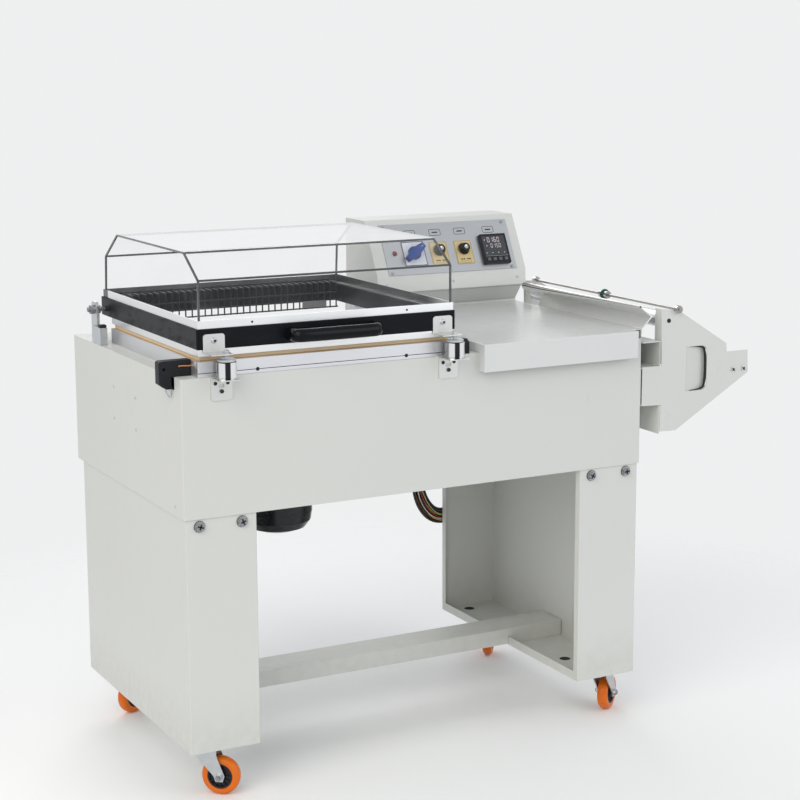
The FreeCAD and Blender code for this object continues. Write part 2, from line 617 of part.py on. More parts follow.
def add_seal_bars():
    """Aluminium bars that meet in an L at the front left, each with a groove line in its face."""
    front = new_body("FrontBar")
    face, groove = "seal_front", "seal_front + 1"
    bar = [(face, DECK), (face, f"{DECK} + 7"), (groove, f"{DECK} + 7"), (groove, f"{DECK} + 8"),
           (face, f"{DECK} + 8"), (face, SEAL_TOP), (f"{face} + seal_bar_wide", SEAL_TOP),
           (f"{face} + seal_bar_wide", DECK)]
    pad(front, "x", "seal_left", "seal_long", bar)
    side = new_body("SideBar")
    left, ledge = "seal_left", f"{DECK} + tub_wall + 8"
    section = [(left, DECK), (left, SEAL_TOP), (f"{left} + seal_bar_wide - 4", SEAL_TOP),
               (f"{left} + seal_bar_wide - 4", ledge), (f"{left} + 12", ledge), (f"{left} + 12", DECK)]
    pad(side, "y", "seal_front + seal_bar_wide", "seal_side_long - seal_bar_wide - seal_front", section)
    node("seal_bars", group(front, side))


def add_tapes():
    """Release tape over the hot wire on both bars."""
    inset = "(seal_bar_wide - tape_wide) / 2"
    front = box("seal_left + 2", f"seal_front + {inset}", SEAL_TOP, "seal_long - 4", "tape_wide",
                "tape_thick")
    side = box("seal_left + 3", "seal_front + seal_bar_wide", SEAL_TOP, "tape_wide",
               "seal_side_long - seal_bar_wide - 6", "tape_thick")
    node("seal_tapes", group(front, side))


def add_terminals():
    """Insulating blocks that clamp the wire's ends: one through the left notch, one at the right."""
    left = new_body("LeftBlock")
    outline = [("-block_out", f"{DECK} - 12"), ("-block_out", f"{DECK} + 28"),
               ("-block_out + 5", f"{DECK} + 30"),
               ("seal_left - part_gap", f"{DECK} + 30"), ("seal_left - part_gap", f"{DECK} + part_gap"),
               ("-4", f"{DECK} + part_gap"), ("-4", f"{DECK} - 22"), ("-14", f"{DECK} - 22")]
    pad(left, "y", "seal_front + 32", "20", outline)
    pocket(left, "y", "seal_front + 31", "8", ("-block_out / 2 - 4", f"{DECK} + 15", "5"))
    right = new_body("RightBlock")
    pad(right, "x", "seal_left + seal_long", "24",
        [("seal_front + 4", DECK), ("seal_front + 4", f"{DECK} + 22"),
         ("seal_front + 12", f"{DECK} + 28"), ("seal_front + 26", f"{DECK} + 28"),
         ("seal_front + 26", DECK)])
    node("terminal_blocks", group(left, right))


# Lid

def add_lid_frame():
    """Square tube frame of the lid."""
    frame = new_body("lid_frame")
    outer = rect("lid_left", "0", "lid_wide", "lid_deep")
    inner = rect("lid_left + lid_bar", "lid_bar", "lid_wide - 2 * lid_bar", "lid_deep - 2 * lid_bar")
    pad(frame, "z", LID_LOW, "lid_tall", outer, inner)
    round_edges(frame, "4",
                lambda e: along("z")(e) and at_corner(frame.Tip.Shape.BoundBox, e.CenterOfMass))
    node("lid_frame", frame)


def add_lid_angle():
    """Aluminium angle round the top of the frame, which the hood stands in."""
    ring = new_body("lid_angle")
    left, front = "(lid_left + angle_inset)", "angle_inset"
    wide, deep = "(lid_wide - 2 * angle_inset)", "(lid_deep - 2 * angle_inset - 4)"
    pad(ring, "z", LID_TOP, "angle_tall", rect(left, front, wide, deep))
    pocket(ring, "z", f"{LID_TOP} + angle_thick", "angle_tall",
           rect(f"{left} + angle_thick", f"{front} + angle_thick", f"{wide} - 2 * angle_thick",
                f"{deep} - 2 * angle_thick"))
    pocket(ring, "z", f"{LID_TOP} - 1", "angle_tall",
           rect(f"{left} + angle_leg", f"{front} + angle_leg",
                f"{wide} - 2 * angle_leg", f"{deep} - 2 * angle_leg"))
    node("lid_angle", ring)


def add_hood():
    """Clear hood: sheets cemented along sloping shoulders, open below."""
    hood = new_body("hood")
    inset = "(angle_inset + angle_thick + hood_fit)"
    front, back = inset, f"(lid_deep - 4 - {inset})"
    outline = [(front, HOOD_LOW), (front, f"{LID_TOP} + hood_front_shoulder"),
               ("hood_top_front", f"{LID_TOP} + hood_rise"), ("hood_top_back", f"{LID_TOP} + hood_rise"),
               (f"{back} - 6", f"{LID_TOP} + hood_back_shoulder"), (back, HOOD_LOW)]
    pad(hood, "x", f"lid_left + {inset}", f"lid_wide - 2 * {inset}", outline)
    hollow(hood, "hood_wall", lambda face: abs(face.normalAt(0, 0).z + 1) < 1e-6)
    node("hood", hood)


def corner_strip(left, right, front, back, wide, wide_side):
    """L-shaped outline that lies over both sealing bars."""
    return [(left, front), (right, front), (right, f"{front} + {wide}"), (f"{left} + {wide_side}",
            f"{front} + {wide}"), (f"{left} + {wide_side}", back), (left, back)]


def add_lid_rails():
    """Aluminium rail under the frame's front and left, and the rubber strip that presses the film."""
    wire_x = "(seal_left + 10.5)"
    rails = new_body("lid_rail")
    pad(rails, "z", RAIL_LOW, "rail_tall",
        corner_strip(f"({wire_x} - rail_wide / 2)", "lid_left + lid_wide - 4", "(seal_front - 1)",
                     "seal_side_long", "(rail_wide + 6)", "rail_wide"))
    node("lid_rail", rails)
    strips = new_body("lid_seal")
    pad(strips, "z", STRIP_LOW, "strip_tall",
        corner_strip(f"({wire_x} - strip_wide / 2)", "lid_left + lid_wide - 8",
                     "(seal_front + seal_bar_wide / 2 - strip_wide / 2)", "seal_side_long - 8",
                     "strip_wide", "strip_wide"))
    node("lid_seal", strips)


def add_handle():
    """Moulded bow handle on the front of the frame."""
    bow = new_body("lid_handle")
    right, grip = "(handle_left + handle_wide)", "handle_thick"
    low = f"({LID_LOW} + handle_up)"
    outer = [("handle_left", "0"), ("handle_left", "-handle_out"), (right, "-handle_out"), (right, "0")]
    inner = [(f"{right} - {grip}", "0"), (f"{right} - {grip}", f"-handle_out + {grip}"),
             (f"handle_left + {grip}", f"-handle_out + {grip}"), (f"handle_left + {grip}", "0")]
    pad(bow, "z", low, "handle_tall", outer + inner)
    round_edges(bow, "14", lambda e: along("z")(e) and e.CenterOfMass.y < number("-handle_out") + 0.01)
    faces = (number(low), number(f"{low} + handle_tall"))
    round_edges(bow, "6", lambda e: e.CenterOfMass.y < -0.1
                and min(abs(e.CenterOfMass.z - z) for z in faces) < 0.01)
    node("lid_handle", bow)


def add_rear_guard():
    """Guard on the rear bar: bent wires that turn down into the chamber, welded to cross wires."""
    dia = number("guard_wire")
    left = number("lid_left + lid_bar + 3 + guard_wire")
    right = number("lid_left + lid_wide - lid_bar - 3 - guard_wire")
    top = number(f"{LID_TOP} + angle_thick + guard_wire / 2 + 0.1")
    front = number("lid_deep - lid_bar - guard_in")
    back = number("lid_deep - 4 - angle_inset - angle_thick - hood_fit - hood_wall - 3")
    low = number(f"{LID_LOW} - 12")
    count = int((right - left) / number("guard_pitch"))
    hook = [Vector(left, back, top), Vector(left, front, top), Vector(left, front, low)]
    bent = bent_bar(hook, dia, dia)[0]
    wires = [bent.translated(Vector(k * (right - left) / count, 0, 0)) for k in range(count + 1)]
    weld = 0.7 * dia
    across = [(back - 2, top + weld)] + [(front - weld, low + up) for up in (2, 17, 33)]
    for y, z in across:
        start = Vector(left - dia, y, z)
        wires.append(Part.makeCylinder(dia / 2, right - left + 2 * dia, start, Vector(1, 0, 0)))
    feature = doc.addObject("Part::Feature", "Guard")
    feature.Shape = wires[0].multiFuse(wires[1:])
    node("rear_guard", feature)


def add_lid_brackets():
    """Angles on the front of the frame that carry the armature discs over the magnets."""
    pieces = []
    for middle in ("magnet_left", "magnet_right"):
        left, low = f"({middle} - shelf_wide / 2 - 13)", f"({LID_LOW} - 6)"
        plate = new_body("Bracket")
        pad(plate, "x", left, "shelf_wide",
            [("0", low), ("0", f"{low} + 34"), ("-shelf_thick", f"{low} + 34"),
             ("-shelf_thick", f"{low} + shelf_thick"),
             ("-magnet_out - 16", f"{low} + shelf_thick"), ("-magnet_out - 16", low)])
        round_edges(plate, "6", lambda e: along("y")(e) and e.CenterOfMass.z > number(low) + 30)
        pocket(plate, "z", f"{low} - 1", "shelf_thick + 2", (middle, "-magnet_out", "6"))
        pieces.append(plate)
    node("lid_brackets", group(*pieces))


def add_armatures():
    """Steel discs that the magnets hold, each on a bolt through its bracket."""
    pieces = []
    disc_low = f"({DECK} + magnet_tall + part_gap)"
    shelf_low = f"({LID_LOW} - 6)"
    for middle in ("magnet_left", "magnet_right"):
        disc = rod("z", middle, "-magnet_out", disc_low, "disc_dia", "disc_thick")
        stem = rod("z", middle, "-magnet_out", disc_low, "6", f"{shelf_low} + shelf_thick + 6 - {disc_low}")
        low_nut = rod("z", middle, "-magnet_out", f"{shelf_low} - 4", "11", "4")
        nut = rod("z", middle, "-magnet_out", f"{shelf_low} + shelf_thick", "11", "5")
        pieces.append(join(disc, stem, low_nut, nut))
    node("armature_discs", group(*pieces))


# Hinge and magnets on the deck

def add_hinge():
    """Posts beside the frame with an ear each, and the pins that the lid turns on."""
    axis_z = f"({DECK} + hinge_up)"
    posts, pins = [], []
    sides = (("1", "1"), ("lid_left + lid_wide + lid_left - 1 - post_thick", "-1"))
    for outer, way in sides:
        post = box(outer, "hinge_back - 10 - post_deep", DECK, "post_thick", "post_deep", "post_tall")
        inner = f"({outer} + post_thick - ear_thick)" if way == "1" else f"({outer})"
        ear = new_body("Ear")
        front, back = "(hinge_back - ear_wide / 2)", "(hinge_back + ear_wide / 2)"
        pad(ear, "x", inner, "ear_thick",
            [(f"{front} - 8", DECK), (f"{front} - 8", f"{DECK} + 24"), (front, f"{DECK} + post_tall"),
             (front, f"{axis_z} + 8"), (f"{front} + 8", f"{axis_z} + 16"), (f"{back} - 8", f"{axis_z} + 16"),
             (back, f"{axis_z} + 8"), (back, DECK)])
        pocket(ear, "x", f"{inner} - 1", "ear_thick + 2",
               ("hinge_back", axis_z, "hinge_pin_dia + 2 * run_fit"))
        posts.append(join(post, ear))
        start = f"({outer} - 4)" if way == "1" else "(lid_left + lid_wide)"
        pin = rod("x", start, "hinge_back", axis_z, "hinge_pin_dia", "lid_left + 3")
        out_nut = f"{inner} - 8 - part_gap" if way == "1" else f"{inner} + ear_thick + part_gap"
        in_nut = f"{inner} + ear_thick + part_gap" if way == "1" else f"{inner} - 6 - part_gap"
        pins.append(join(pin, rod("x", out_nut, "hinge_back", axis_z, "hinge_pin_dia + 8", "8"),
                         rod("x", in_nut, "hinge_back", axis_z, "hinge_pin_dia + 8", "6")))
    node("hinge_posts", group(*posts))
    node("hinge_pins", group(*pins))


def add_magnets():
    """Holding magnets on shelf brackets that are screwed to the cabinet's front."""
    shelves, coils = [], []
    for middle in ("magnet_left", "magnet_right"):
        left = f"({middle} - shelf_wide / 2)"
        shelf = new_body("Shelf")
        low = f"({DECK} - shelf_drop)"
        pad(shelf, "x", left, "shelf_wide",
            [("0", low), ("0", DECK), ("-shelf_out", DECK), ("-shelf_out", f"{DECK} - shelf_thick"),
             ("-shelf_thick", f"{DECK} - shelf_thick"), ("-shelf_thick", low)])
        pocket(shelf, "y", "-shelf_thick - 1", "shelf_thick + 2",
               (f"{left} + 9", f"{low} + 32", "5"), (f"{left} + 33", f"{low} + 32", "5"),
               rect(f"{left} + 16", f"{low} + 24", "10", "6"))
        round_edges(shelf, "5", lambda e: along("y")(e) and abs(e.CenterOfMass.z - number(low)) < 0.01)
        shelves.append(shelf)
        coil = rod("z", middle, "-magnet_out", DECK, "magnet_dia", "magnet_tall")
        coils.append(coil)
    node("magnet_shelves", group(*shelves))
    node("magnets", group(*coils))


# Film side

def add_table():
    """Folded worktable: flat top, skirts down to the deck and a deep lip over the front panel."""
    table = new_body("worktable")
    low = f"({TABLE_TOP} - table_lip_tall)"
    left, sheet_thick = TABLE_LEFT, "table_sheet"
    deep = "(table_back + table_lip_out)"
    pad(table, "z", low, "table_lip_tall", rect(left, "-table_lip_out", f"cab_wide - {left}", deep))
    pocket(table, "z", f"{low} - 1", f"table_lip_tall - {sheet_thick} + 1",
           rect(f"{left} + {sheet_thick}", f"-table_lip_out + {sheet_thick}",
                f"cab_wide - {left} - 2 * {sheet_thick}", f"{deep} - 2 * {sheet_thick}"))
    pocket(table, "z", f"{low} - 1", "table_lip_tall - table_up + 1",
           rect(f"{left} - 1", "0", f"cab_wide - {left} + 2", f"{deep} + 2"))
    pocket(table, "z", f"{low} - 1", "table_lip_tall + 2",
           rect("cab_wide - table_lip_short", "-table_lip_out - 1", "cab_wide", "table_lip_out + 1"))
    pad(table, "y", f"table_back - {sheet_thick}", sheet_thick,
        rect(left, f"{TABLE_TOP} - {sheet_thick}", f"cab_wide - {left}", f"{sheet_thick} + 4.5"))
    node("worktable", table)


def add_film_guide():
    """Film guide at the table's edge: a V-folded sheet that opens towards the back, with a rolled rim."""
    guide = new_body("film_guide")
    edge, low = "cab_wide", TABLE_TOP
    skin = "guide_sheet"

    def section(lean, tip, top):
        return [(edge, f"{low} - guide_foot"), (f"{edge} + {skin}", f"{low} - guide_foot"),
                (f"{edge} + {skin}", f"{low} - {skin} / 2"), (f"{edge} + {tip}", f"{low} + guide_tip_up"),
                (f"{edge} - 4 - {lean}", f"{low} + {top}"),
                (f"{edge} - 4 - {lean}", f"{low} + {top} - 2 * {skin}"),
                (f"{edge} + {tip} - 3 * {skin}", f"{low} + guide_tip_up - {skin} / 4"),
                (edge, f"{low} + 0.5")]

    near = sketch_on(guide, "y", "0", [section("0", "guide_tip_out", "guide_top_up")])
    far = sketch_on(guide, "y", "guide_deep",
                    [section("guide_lean", "guide_tip_out - 12", "guide_top_up + 5")])
    loft = guide.newObject("PartDesign::AdditiveLoft", "Leaves")
    loft.Profile = near
    loft.Sections = [far]
    loft.Ruled = True
    rim_near = sketch_on(guide, "y", "0",
                         [(f"{edge} - 4", f"{low} + guide_top_up - {skin}", "guide_roll / 2")])
    rim_far = sketch_on(guide, "y", "guide_deep",
                        [(f"{edge} - 4 - guide_lean", f"{low} + guide_top_up + 5 - {skin} - guide_roll / 2",
                          "2 * guide_roll")])
    rim = guide.newObject("PartDesign::AdditiveLoft", "Rim")
    rim.Profile = rim_near
    rim.Sections = [rim_far]
    node("film_guide", guide)


STAND_X = "(cab_wide + channel_wide)"


ROLLERS = {
    "guide_roller": ("cab_wide + guide_roller_x", f"{DECK} + guide_roller_up"),
    "film_roller_outer": ("cab_wide + outer_roller_x", f"{DECK} + outer_roller_up"),
    "film_roller_inner": ("cab_wide + inner_roller_x", f"{DECK} + inner_roller_up"),
}


def stand_outline():
    """Side plate of the film stand, from its top corner round by the right end."""
    low, high = f"{DECK} + channel_low", f"{DECK} + channel_high"
    return [(f"{STAND_X} - 1", f"{DECK} + 56"), (f"{STAND_X} + 39", f"{DECK} + 53"),
            (f"{REACH} - 58", f"{DECK} - 27"), (f"{REACH} - 57", f"{DECK} - 45"),
            (f"{REACH} - 2", f"{DECK} - 45"), (REACH, f"{DECK} - 93"),
            (f"{STAND_X} + 40", f"{DECK} - 201"), (STAND_X, f"{DECK} - 200"),
            (f"{STAND_X} + 1", f"{low} - 3"), ("cab_wide + 4", f"{low} - 1"),
            ("cab_wide + 4", f"{high} + 2"), (f"{STAND_X} + 2", f"{high} + 1")]


def add_stand():
    """Two laser-cut side plates, the channel and back sheet between them, and a tie at the tip.

    Behind the near plate's window a sheet slopes inwards, so that the window is a grip.
    """
    plates = []
    for at, inward in (("stand_near", 1), ("stand_far - stand_sheet", -1)):
        plate = new_body("SidePlate")
        pad(plate, "y", at, "stand_sheet", stand_outline())
        pocket(plate, "y", f"{at} - 1", "stand_sheet + 2",
               rect("cab_wide + 113", f"{DECK} - 121", "54", "94"))
        round_edges(plate, "14", lambda e: along("y")(e)
                    and abs(e.CenterOfMass.x - number("cab_wide + 167")) < 0.01)
        pocket(plate, "y", f"{at} - 1", "stand_sheet + 2",
               *[(x, z, "journal_dia + 2 * run_fit") for x, z in ROLLERS.values()])
        pocket(plate, "y", f"{at} - 1", "stand_sheet + 2",
               rect("cab_wide + punch_x - rod_dia / 2", f"{DECK} + punch_notch_up", "rod_dia", "20"))
        flange_at = f"{at} + stand_sheet" if inward > 0 else f"{at} - stand_flange"
        pad(plate, "y", flange_at, "stand_flange", rect(STAND_X, f"{DECK} - 199", "stand_sheet", "54"))
        pad(plate, "y", flange_at, "stand_flange",
            rect(f"{STAND_X} + 2", f"{DECK} + channel_high + 4", "stand_sheet", "114"))
        if inward > 0:
            pad(plate, "z", f"{DECK} - 125", "102",
                [("cab_wide + 104", "1"), ("cab_wide + 112", "1"), ("cab_wide + 172", "12"),
                 ("cab_wide + 172", "13.5"), ("cab_wide + 104", "2.5")])
        plates.append(plate)
    node("stand_plates", group(*plates))
    channel = new_body("stand_channel")
    low, high = f"{DECK} + channel_low", f"{DECK} + channel_high"
    left, right, skin = "cab_wide", STAND_X, "stand_sheet"
    pad(channel, "y", "stand_near + stand_sheet", "stand_far - stand_near - 2 * stand_sheet",
        [(left, low), (right, low), (right, f"{low} + {skin}"), (f"{left} + {skin}", f"{low} + {skin}"),
         (f"{left} + {skin}", f"{high} - {skin}"), (right, f"{high} - {skin}"), (right, high), (left, high)])
    top, inner = f"{DECK} - 10", f"{right} - {skin}"
    pad(channel, "y", "stand_near + stand_sheet", "stand_far - stand_near - 2 * stand_sheet",
        [(inner, f"{DECK} - 205"), (right, f"{DECK} - 205"), (right, top), (f"{left} + 5", top),
         (f"{left} + 5", f"{top} - {skin}"), (inner, f"{top} - {skin}")])
    tie = box(f"{REACH} - 45", "stand_near + stand_sheet", f"{DECK} + tie_up", "40",
              "stand_far - stand_near - 2 * stand_sheet", "12")
    node("stand_cross_members", group(channel, tie))


def add_film_rollers():
    """Three rollers with stepped journals that run in the side plates."""
    start, stop, inset = "stand_near", "stand_far", "(stand_sheet + stand_flange + 1)"
    for name, (x, z) in ROLLERS.items():
        barrel = rod("y", 0, f"{start} + {inset}", 0, "roller_dia", f"{stop} - {start} - 2 * {inset}")
        journal = rod("y", 0, f"{start} + 0.5", 0, "journal_dia", f"{stop} - {start} - 1")
        node(name, join(barrel, journal), x, "0", z)


def add_punch_rod():
    """Thin rod across the plates' tops with its end collars, and the wheel with pins on it."""
    x, z = "(cab_wide + punch_x)", f"({DECK} + punch_notch_up + rod_dia / 2)"
    bar = rod("y", 0, "stand_near - 12", 0, "rod_dia", "stand_far - stand_near + 24")
    collars = [rod("y", 0, at, 0, "rod_dia + 10", "9") for at in
               ("stand_near - 10", "stand_far + 1", "pin_wheel_at - 14", "pin_wheel_at + 14 - 9")]
    node("punch_rod", join(bar, *collars), x, "0", z)
    wheel = new_body("pin_wheel")
    pad(wheel, "y", "-4", "8", ("0", "0", "pin_wheel_dia - 6"))
    tooth = pad(wheel, "y", "-1.5", "3",
                [("-1.5", "pin_wheel_dia / 2 - 5"), ("1.5", "pin_wheel_dia / 2 - 5"),
                 ("0.6", "pin_wheel_dia / 2"), ("-0.6", "pin_wheel_dia / 2")])
    pattern = wheel.newObject("PartDesign::PolarPattern", "Pins")
    pattern.Originals = [tooth]
    pattern.Axis = (next(f for f in wheel.Origin.OriginFeatures if f.Role == "Y_Axis"), [""])
    pattern.Angle = 360
    pattern.Occurrences = 12
    wheel.Tip = pattern
    pocket(wheel, "y", "-6", "12", ("0", "0", "rod_dia + 2 * run_fit"))
    node("pin_wheel", wheel, x, "pin_wheel_at", z)


# Control box

SLOPE_LOW_Y, SLOPE_LOW_Z = "(box_back - box_overhang)", f"({DECK} + 97)"
SLOPE_TOP_Y, SLOPE_TOP_Z = "(box_back - box_top_deep)", f"({DECK} + box_top_up)"

# lamp, rotary switch and two timers: along the panel plate and up it
DIALS = (("24", "50"), ("71", "48"), ("134", "52"), ("196", "52"))


def add_control_box():
    """Sheet housing with a sloping face, chamfered back to its foot on the deck."""
    shell = new_body("Housing")
    outline = [("box_back", DECK), ("box_back", SLOPE_TOP_Z),
               (SLOPE_TOP_Y, SLOPE_TOP_Z), (SLOPE_LOW_Y, SLOPE_LOW_Z),
               (f"{SLOPE_LOW_Y} - 2", f"{DECK} + 62"), (f"{SLOPE_LOW_Y} + 19", f"{DECK} + 55"),
               ("box_back - 101", f"{DECK} + 13"), ("box_back - 101", DECK)]
    pad(shell, "x", BOX_LEFT, "box_wide", outline)
    hollow(shell, "box_sheet", lambda face: abs(face.normalAt(0, 0).z + 1) < 1e-6
           and face.CenterOfMass.z < number(DECK) + 1)
    frame, up = slope_frame()
    drills = []
    for x, along_slope in DIALS:
        drill = rod("z", 0, 0, 0, "spindle_dia + 2", "4 * box_sheet")
        drill.Placement = Placement(Vector(), frame.Rotation)
        seat(drill, f"{PLATE_LEFT} + {x}",
             f"{SLOPE_LOW_Y} + ({along_slope} + 1) * {up.y} + 2 * box_sheet * {up.z}",
             f"{SLOPE_LOW_Z} + ({along_slope} + 1) * {up.z} - 2 * box_sheet * {up.y}")
        drills.append(drill)
    node("control_box", cut(shell, *drills))


def slope_frame():
    """Placement at the low left end of the sloping face: X along the machine, Y up the slope."""
    low = Vector(0, number(SLOPE_LOW_Y), number(SLOPE_LOW_Z))
    top = Vector(0, number(SLOPE_TOP_Y), number(SLOPE_TOP_Z))
    up = (top - low).normalize()
    turn = Rotation(Vector(1, 0, 0), math.degrees(math.atan2(up.z, up.y)))
    return Placement(low, turn), up


def lay_on_slope(thing, x, along_slope):
    """Lays a piece on the sloping face, at a distance along the machine and one up the slope."""
    frame, up = slope_frame()
    thing.Placement = Placement(Vector(), frame.Rotation)
    seat(thing, x, f"{SLOPE_LOW_Y} + ({along_slope}) * {up.y}", f"{SLOPE_LOW_Z} + ({along_slope}) * {up.z}")


def on_slope(name, thing, x, along_slope):
    """The same for a finished sub-part, which is named and moved to the machine's own origin."""
    thing.Label = name
    lay_on_slope(thing, x, along_slope)
    bind(thing, "Placement.Base.x", f"{x} - {MID_X}")
    up = slope_frame()[1]
    bind(thing, "Placement.Base.y", f"{SLOPE_LOW_Y} + ({along_slope}) * {up.y} - {MID_Y}")


def add_panel():
    """Sheet plate on the sloping face with everything the operator uses."""
    plate = new_body("panel_plate")
    pad(plate, "z", "0", "plate_thick", rect("0", "0", "plate_wide", "plate_long"))
    holes = [(x, y, "spindle_dia + 2 * run_fit") for x, y in DIALS]
    pocket(plate, "z", "-1", "plate_thick + 2", *holes)
    on_slope("panel_plate", plate, PLATE_LEFT, "1")
    dials = [box(x, y, "plate_thick", wide, tall, "dial_plate_thick") for x, y, wide, tall in
             (("44", "19", "55", "57"), ("112.5", "17", "43", "55"), ("174.5", "17", "43", "55"))]
    holes = [rod("z", x, y, 0, "spindle_dia + 2", "5") for x, y in DIALS[1:]]
    on_slope("dial_plates", group(*[cut(dial, hole) for dial, hole in zip(dials, holes)]), PLATE_LEFT, "1")
    lens = new_body("power_lamp")
    turn = lens.newObject("PartDesign::Revolution", "Turned")
    profile = [("0", "-4"), ("spindle_dia / 2", "-4"), ("spindle_dia / 2", "plate_thick"),
               ("6", "plate_thick"), ("6", "plate_thick + 2"), ("4.5", "plate_thick + 3"),
               ("3.5", "plate_thick + 5.5"), ("0", "plate_thick + 7")]
    turn.Profile = sketch_on(lens, "y", "0", [profile])
    turn.ReferenceAxis = (next(f for f in lens.Origin.OriginFeatures if f.Role == "Z_Axis"), [""])
    turn.Angle = 360
    on_slope("power_lamp", lens, f"{PLATE_LEFT} + 24", "51")


def add_switch_knob():
    """Rotary switch: a round boss with a long pointer handle across it."""
    knob = new_body("Grip")
    base = "plate_thick + dial_plate_thick + part_gap"
    pad(knob, "z", base, "6", ("0", "0", "30"))
    pad(knob, "z", base, "knob_long",
        [("-27", "-6"), ("-20", "-8"), ("0", "-10"), ("20", "-8"), ("27", "-6"),
         ("27", "6"), ("20", "8"), ("0", "10"), ("-20", "8"), ("-27", "6")])
    round_edges(knob, "2", lambda e: abs(e.CenterOfMass.z - number(f"{base} + knob_long")) < 0.01)
    pad(knob, "z", "-3", f"{base} + 4", ("0", "0", "spindle_dia"))
    knob.Placement = Placement(Vector(), Rotation(Vector(0, 0, 1), 35))
    on_slope("switch_knob", group(knob), f"{PLATE_LEFT} + 71", "49")


def add_timer_knobs():
    """Two fluted timer knobs, each with a turned cap."""
    base = "plate_thick + dial_plate_thick + part_gap"
    for name, x in (("timer_knob_left", f"{PLATE_LEFT} + 134"), ("timer_knob_right", f"{PLATE_LEFT} + 196")):
        knob = new_body(name)
        pad(knob, "z", base, "4", ("0", "0", "27"))
        pad(knob, "z", f"{base} + 3", "knob_long - 5", ("0", "0", "21"))
        pad(knob, "z", f"{base} + 3", "knob_long - 3", ("0", "0", "12"))
        flute = pocket(knob, "z", f"{base} + 4", "knob_long", ("11.2", "0", "3"))
        pattern = knob.newObject("PartDesign::PolarPattern", "Flutes")
        pattern.Originals = [flute]
        pattern.Axis = (next(f for f in knob.Origin.OriginFeatures if f.Role == "Z_Axis"), [""])
        pattern.Angle = 360
        pattern.Occurrences = 12
        knob.Tip = pattern
        pad(knob, "z", "-3", f"{base} + 4", ("0", "0", "spindle_dia"))
        on_slope(name, knob, x, "53")


def add_controller():
    """Temperature controller: bezel with a recessed window and four keys."""
    case = new_body("temperature_controller")
    pad(case, "z", "plate_thick", "9", rect("0", "0", "66", "70"))
    round_edges(case, "2", lambda e: along("z")(e))
    pocket(case, "z", "plate_thick + 8", "3", rect("4", "19", "58", "47"))
    keys = [("key_set", "7"), ("key_shift", "21.5"), ("key_down", "36"), ("key_up", "50.5")]
    pocket(case, "z", "plate_thick + 5", "6", *[rect(x, "6", "8.5", "8") for _, x in keys])
    on_slope("temperature_controller", case, f"{PLATE_LEFT} + plate_wide - 81", "12")
    for name, x in keys:
        key = new_body(name)
        pad(key, "z", "plate_thick + 5 + key_travel + part_gap", "4.6 - key_travel - part_gap + 0.6",
            rect(f"{x} + part_gap", "6 + part_gap", "8.5 - 2 * part_gap", "8 - 2 * part_gap"))
        on_slope(name, key, f"{PLATE_LEFT} + plate_wide - 81", "12")


# Wire loom under the cabinet

def loom_route():
    """Points of the loom's centre line: down behind the right leg, along and up again."""
    left, right = (number(end) for end in LOOM_ENDS)
    back, top = number("loom_back"), number(LEG_TOP)
    return [Vector(left, back, top - 17), Vector(left - 3, back, top - 66),
            Vector(left - 10, back + 0.5, top - 122), Vector(left - 1, back + 1, top - 180),
            Vector(left + 34, back + 1, top - 226), Vector(left + 84, back + 1, top - 228),
            Vector(left + 122, back + 0.5, top - 186), Vector(right - 3, back, top - 128),
            Vector(right + 3, back, top - 70), Vector(right, back, top - 17)]


def add_loom():
    """Sleeved bundle of wires that hangs in a loop between two grommets."""
    points = loom_route()
    dia = number("loom_dia")
    tube, path, radii = bent_bar(points, dia)
    print("loom radii", radii, "length", round(path.Length, 1), "volume ratio",
          round(tube.Volume / (math.pi * dia * dia / 4 * path.Length), 4))
    feature = doc.addObject("Part::Feature", "Loom")
    feature.Shape = tube
    node("wire_loom", feature)
    glands = []
    for x in LOOM_ENDS:
        flange = rod("z", x, "loom_back", f"{LEG_TOP} - 4", "loom_dia + 3", "4")
        neck = doc.addObject("Part::Cone", "Neck")
        bind(neck, "Radius1", "loom_dia / 2 + 0.4")
        bind(neck, "Radius2", "loom_dia / 2 + 1.4")
        bind(neck, "Height", "12")
        seat(neck, x, "loom_back", f"{LEG_TOP} - 16")
        plug = rod("z", x, "loom_back", LEG_TOP, "loom_dia - 1", "6")
        glands.append(join(flange, neck, plug))
    node("loom_glands", group(*glands))


def build():
    fill_sheet()
    add_casters()
    add_leg("left_leg", "leg_side_inset", 1)
    add_leg("right_leg", "cab_wide - leg_side_inset - leg_wide", -1)
    add_cross_bar()
    add_frame_bolts()
    add_cabinet()
    add_bottom_pan()
    add_tub()
    add_product_tray()
    add_blower()
    add_motor()
    add_heaters()
    add_seal_bars()
    add_tapes()
    add_terminals()
    add_lid_frame()
    add_lid_angle()
    add_hood()
    add_lid_rails()
    add_handle()
    add_rear_guard()
    add_lid_brackets()
    add_armatures()
    add_hinge()
    add_magnets()
    add_table()
    add_film_guide()
    add_stand()
    add_film_rollers()
    add_punch_rod()
    add_control_box()
    add_panel()
    add_switch_knob()
    add_timer_knobs()
    add_controller()
    add_loom()
    doc.recompute()


def sub_parts():
    """The finished objects: those whose label is a plain name that nothing else uses."""
    used = set()
    for thing in doc.Objects:
        if thing.TypeId in ("Part::Cut", "Part::MultiFuse", "Part::Compound"):
            used.update(child.Name for child in thing.OutList)
    kinds = ("PartDesign::Body", "Part::Cut", "Part::MultiFuse", "Part::Compound", "Part::Feature")
    return [thing for thing in doc.Objects if thing.TypeId in kinds and thing.Name not in used]


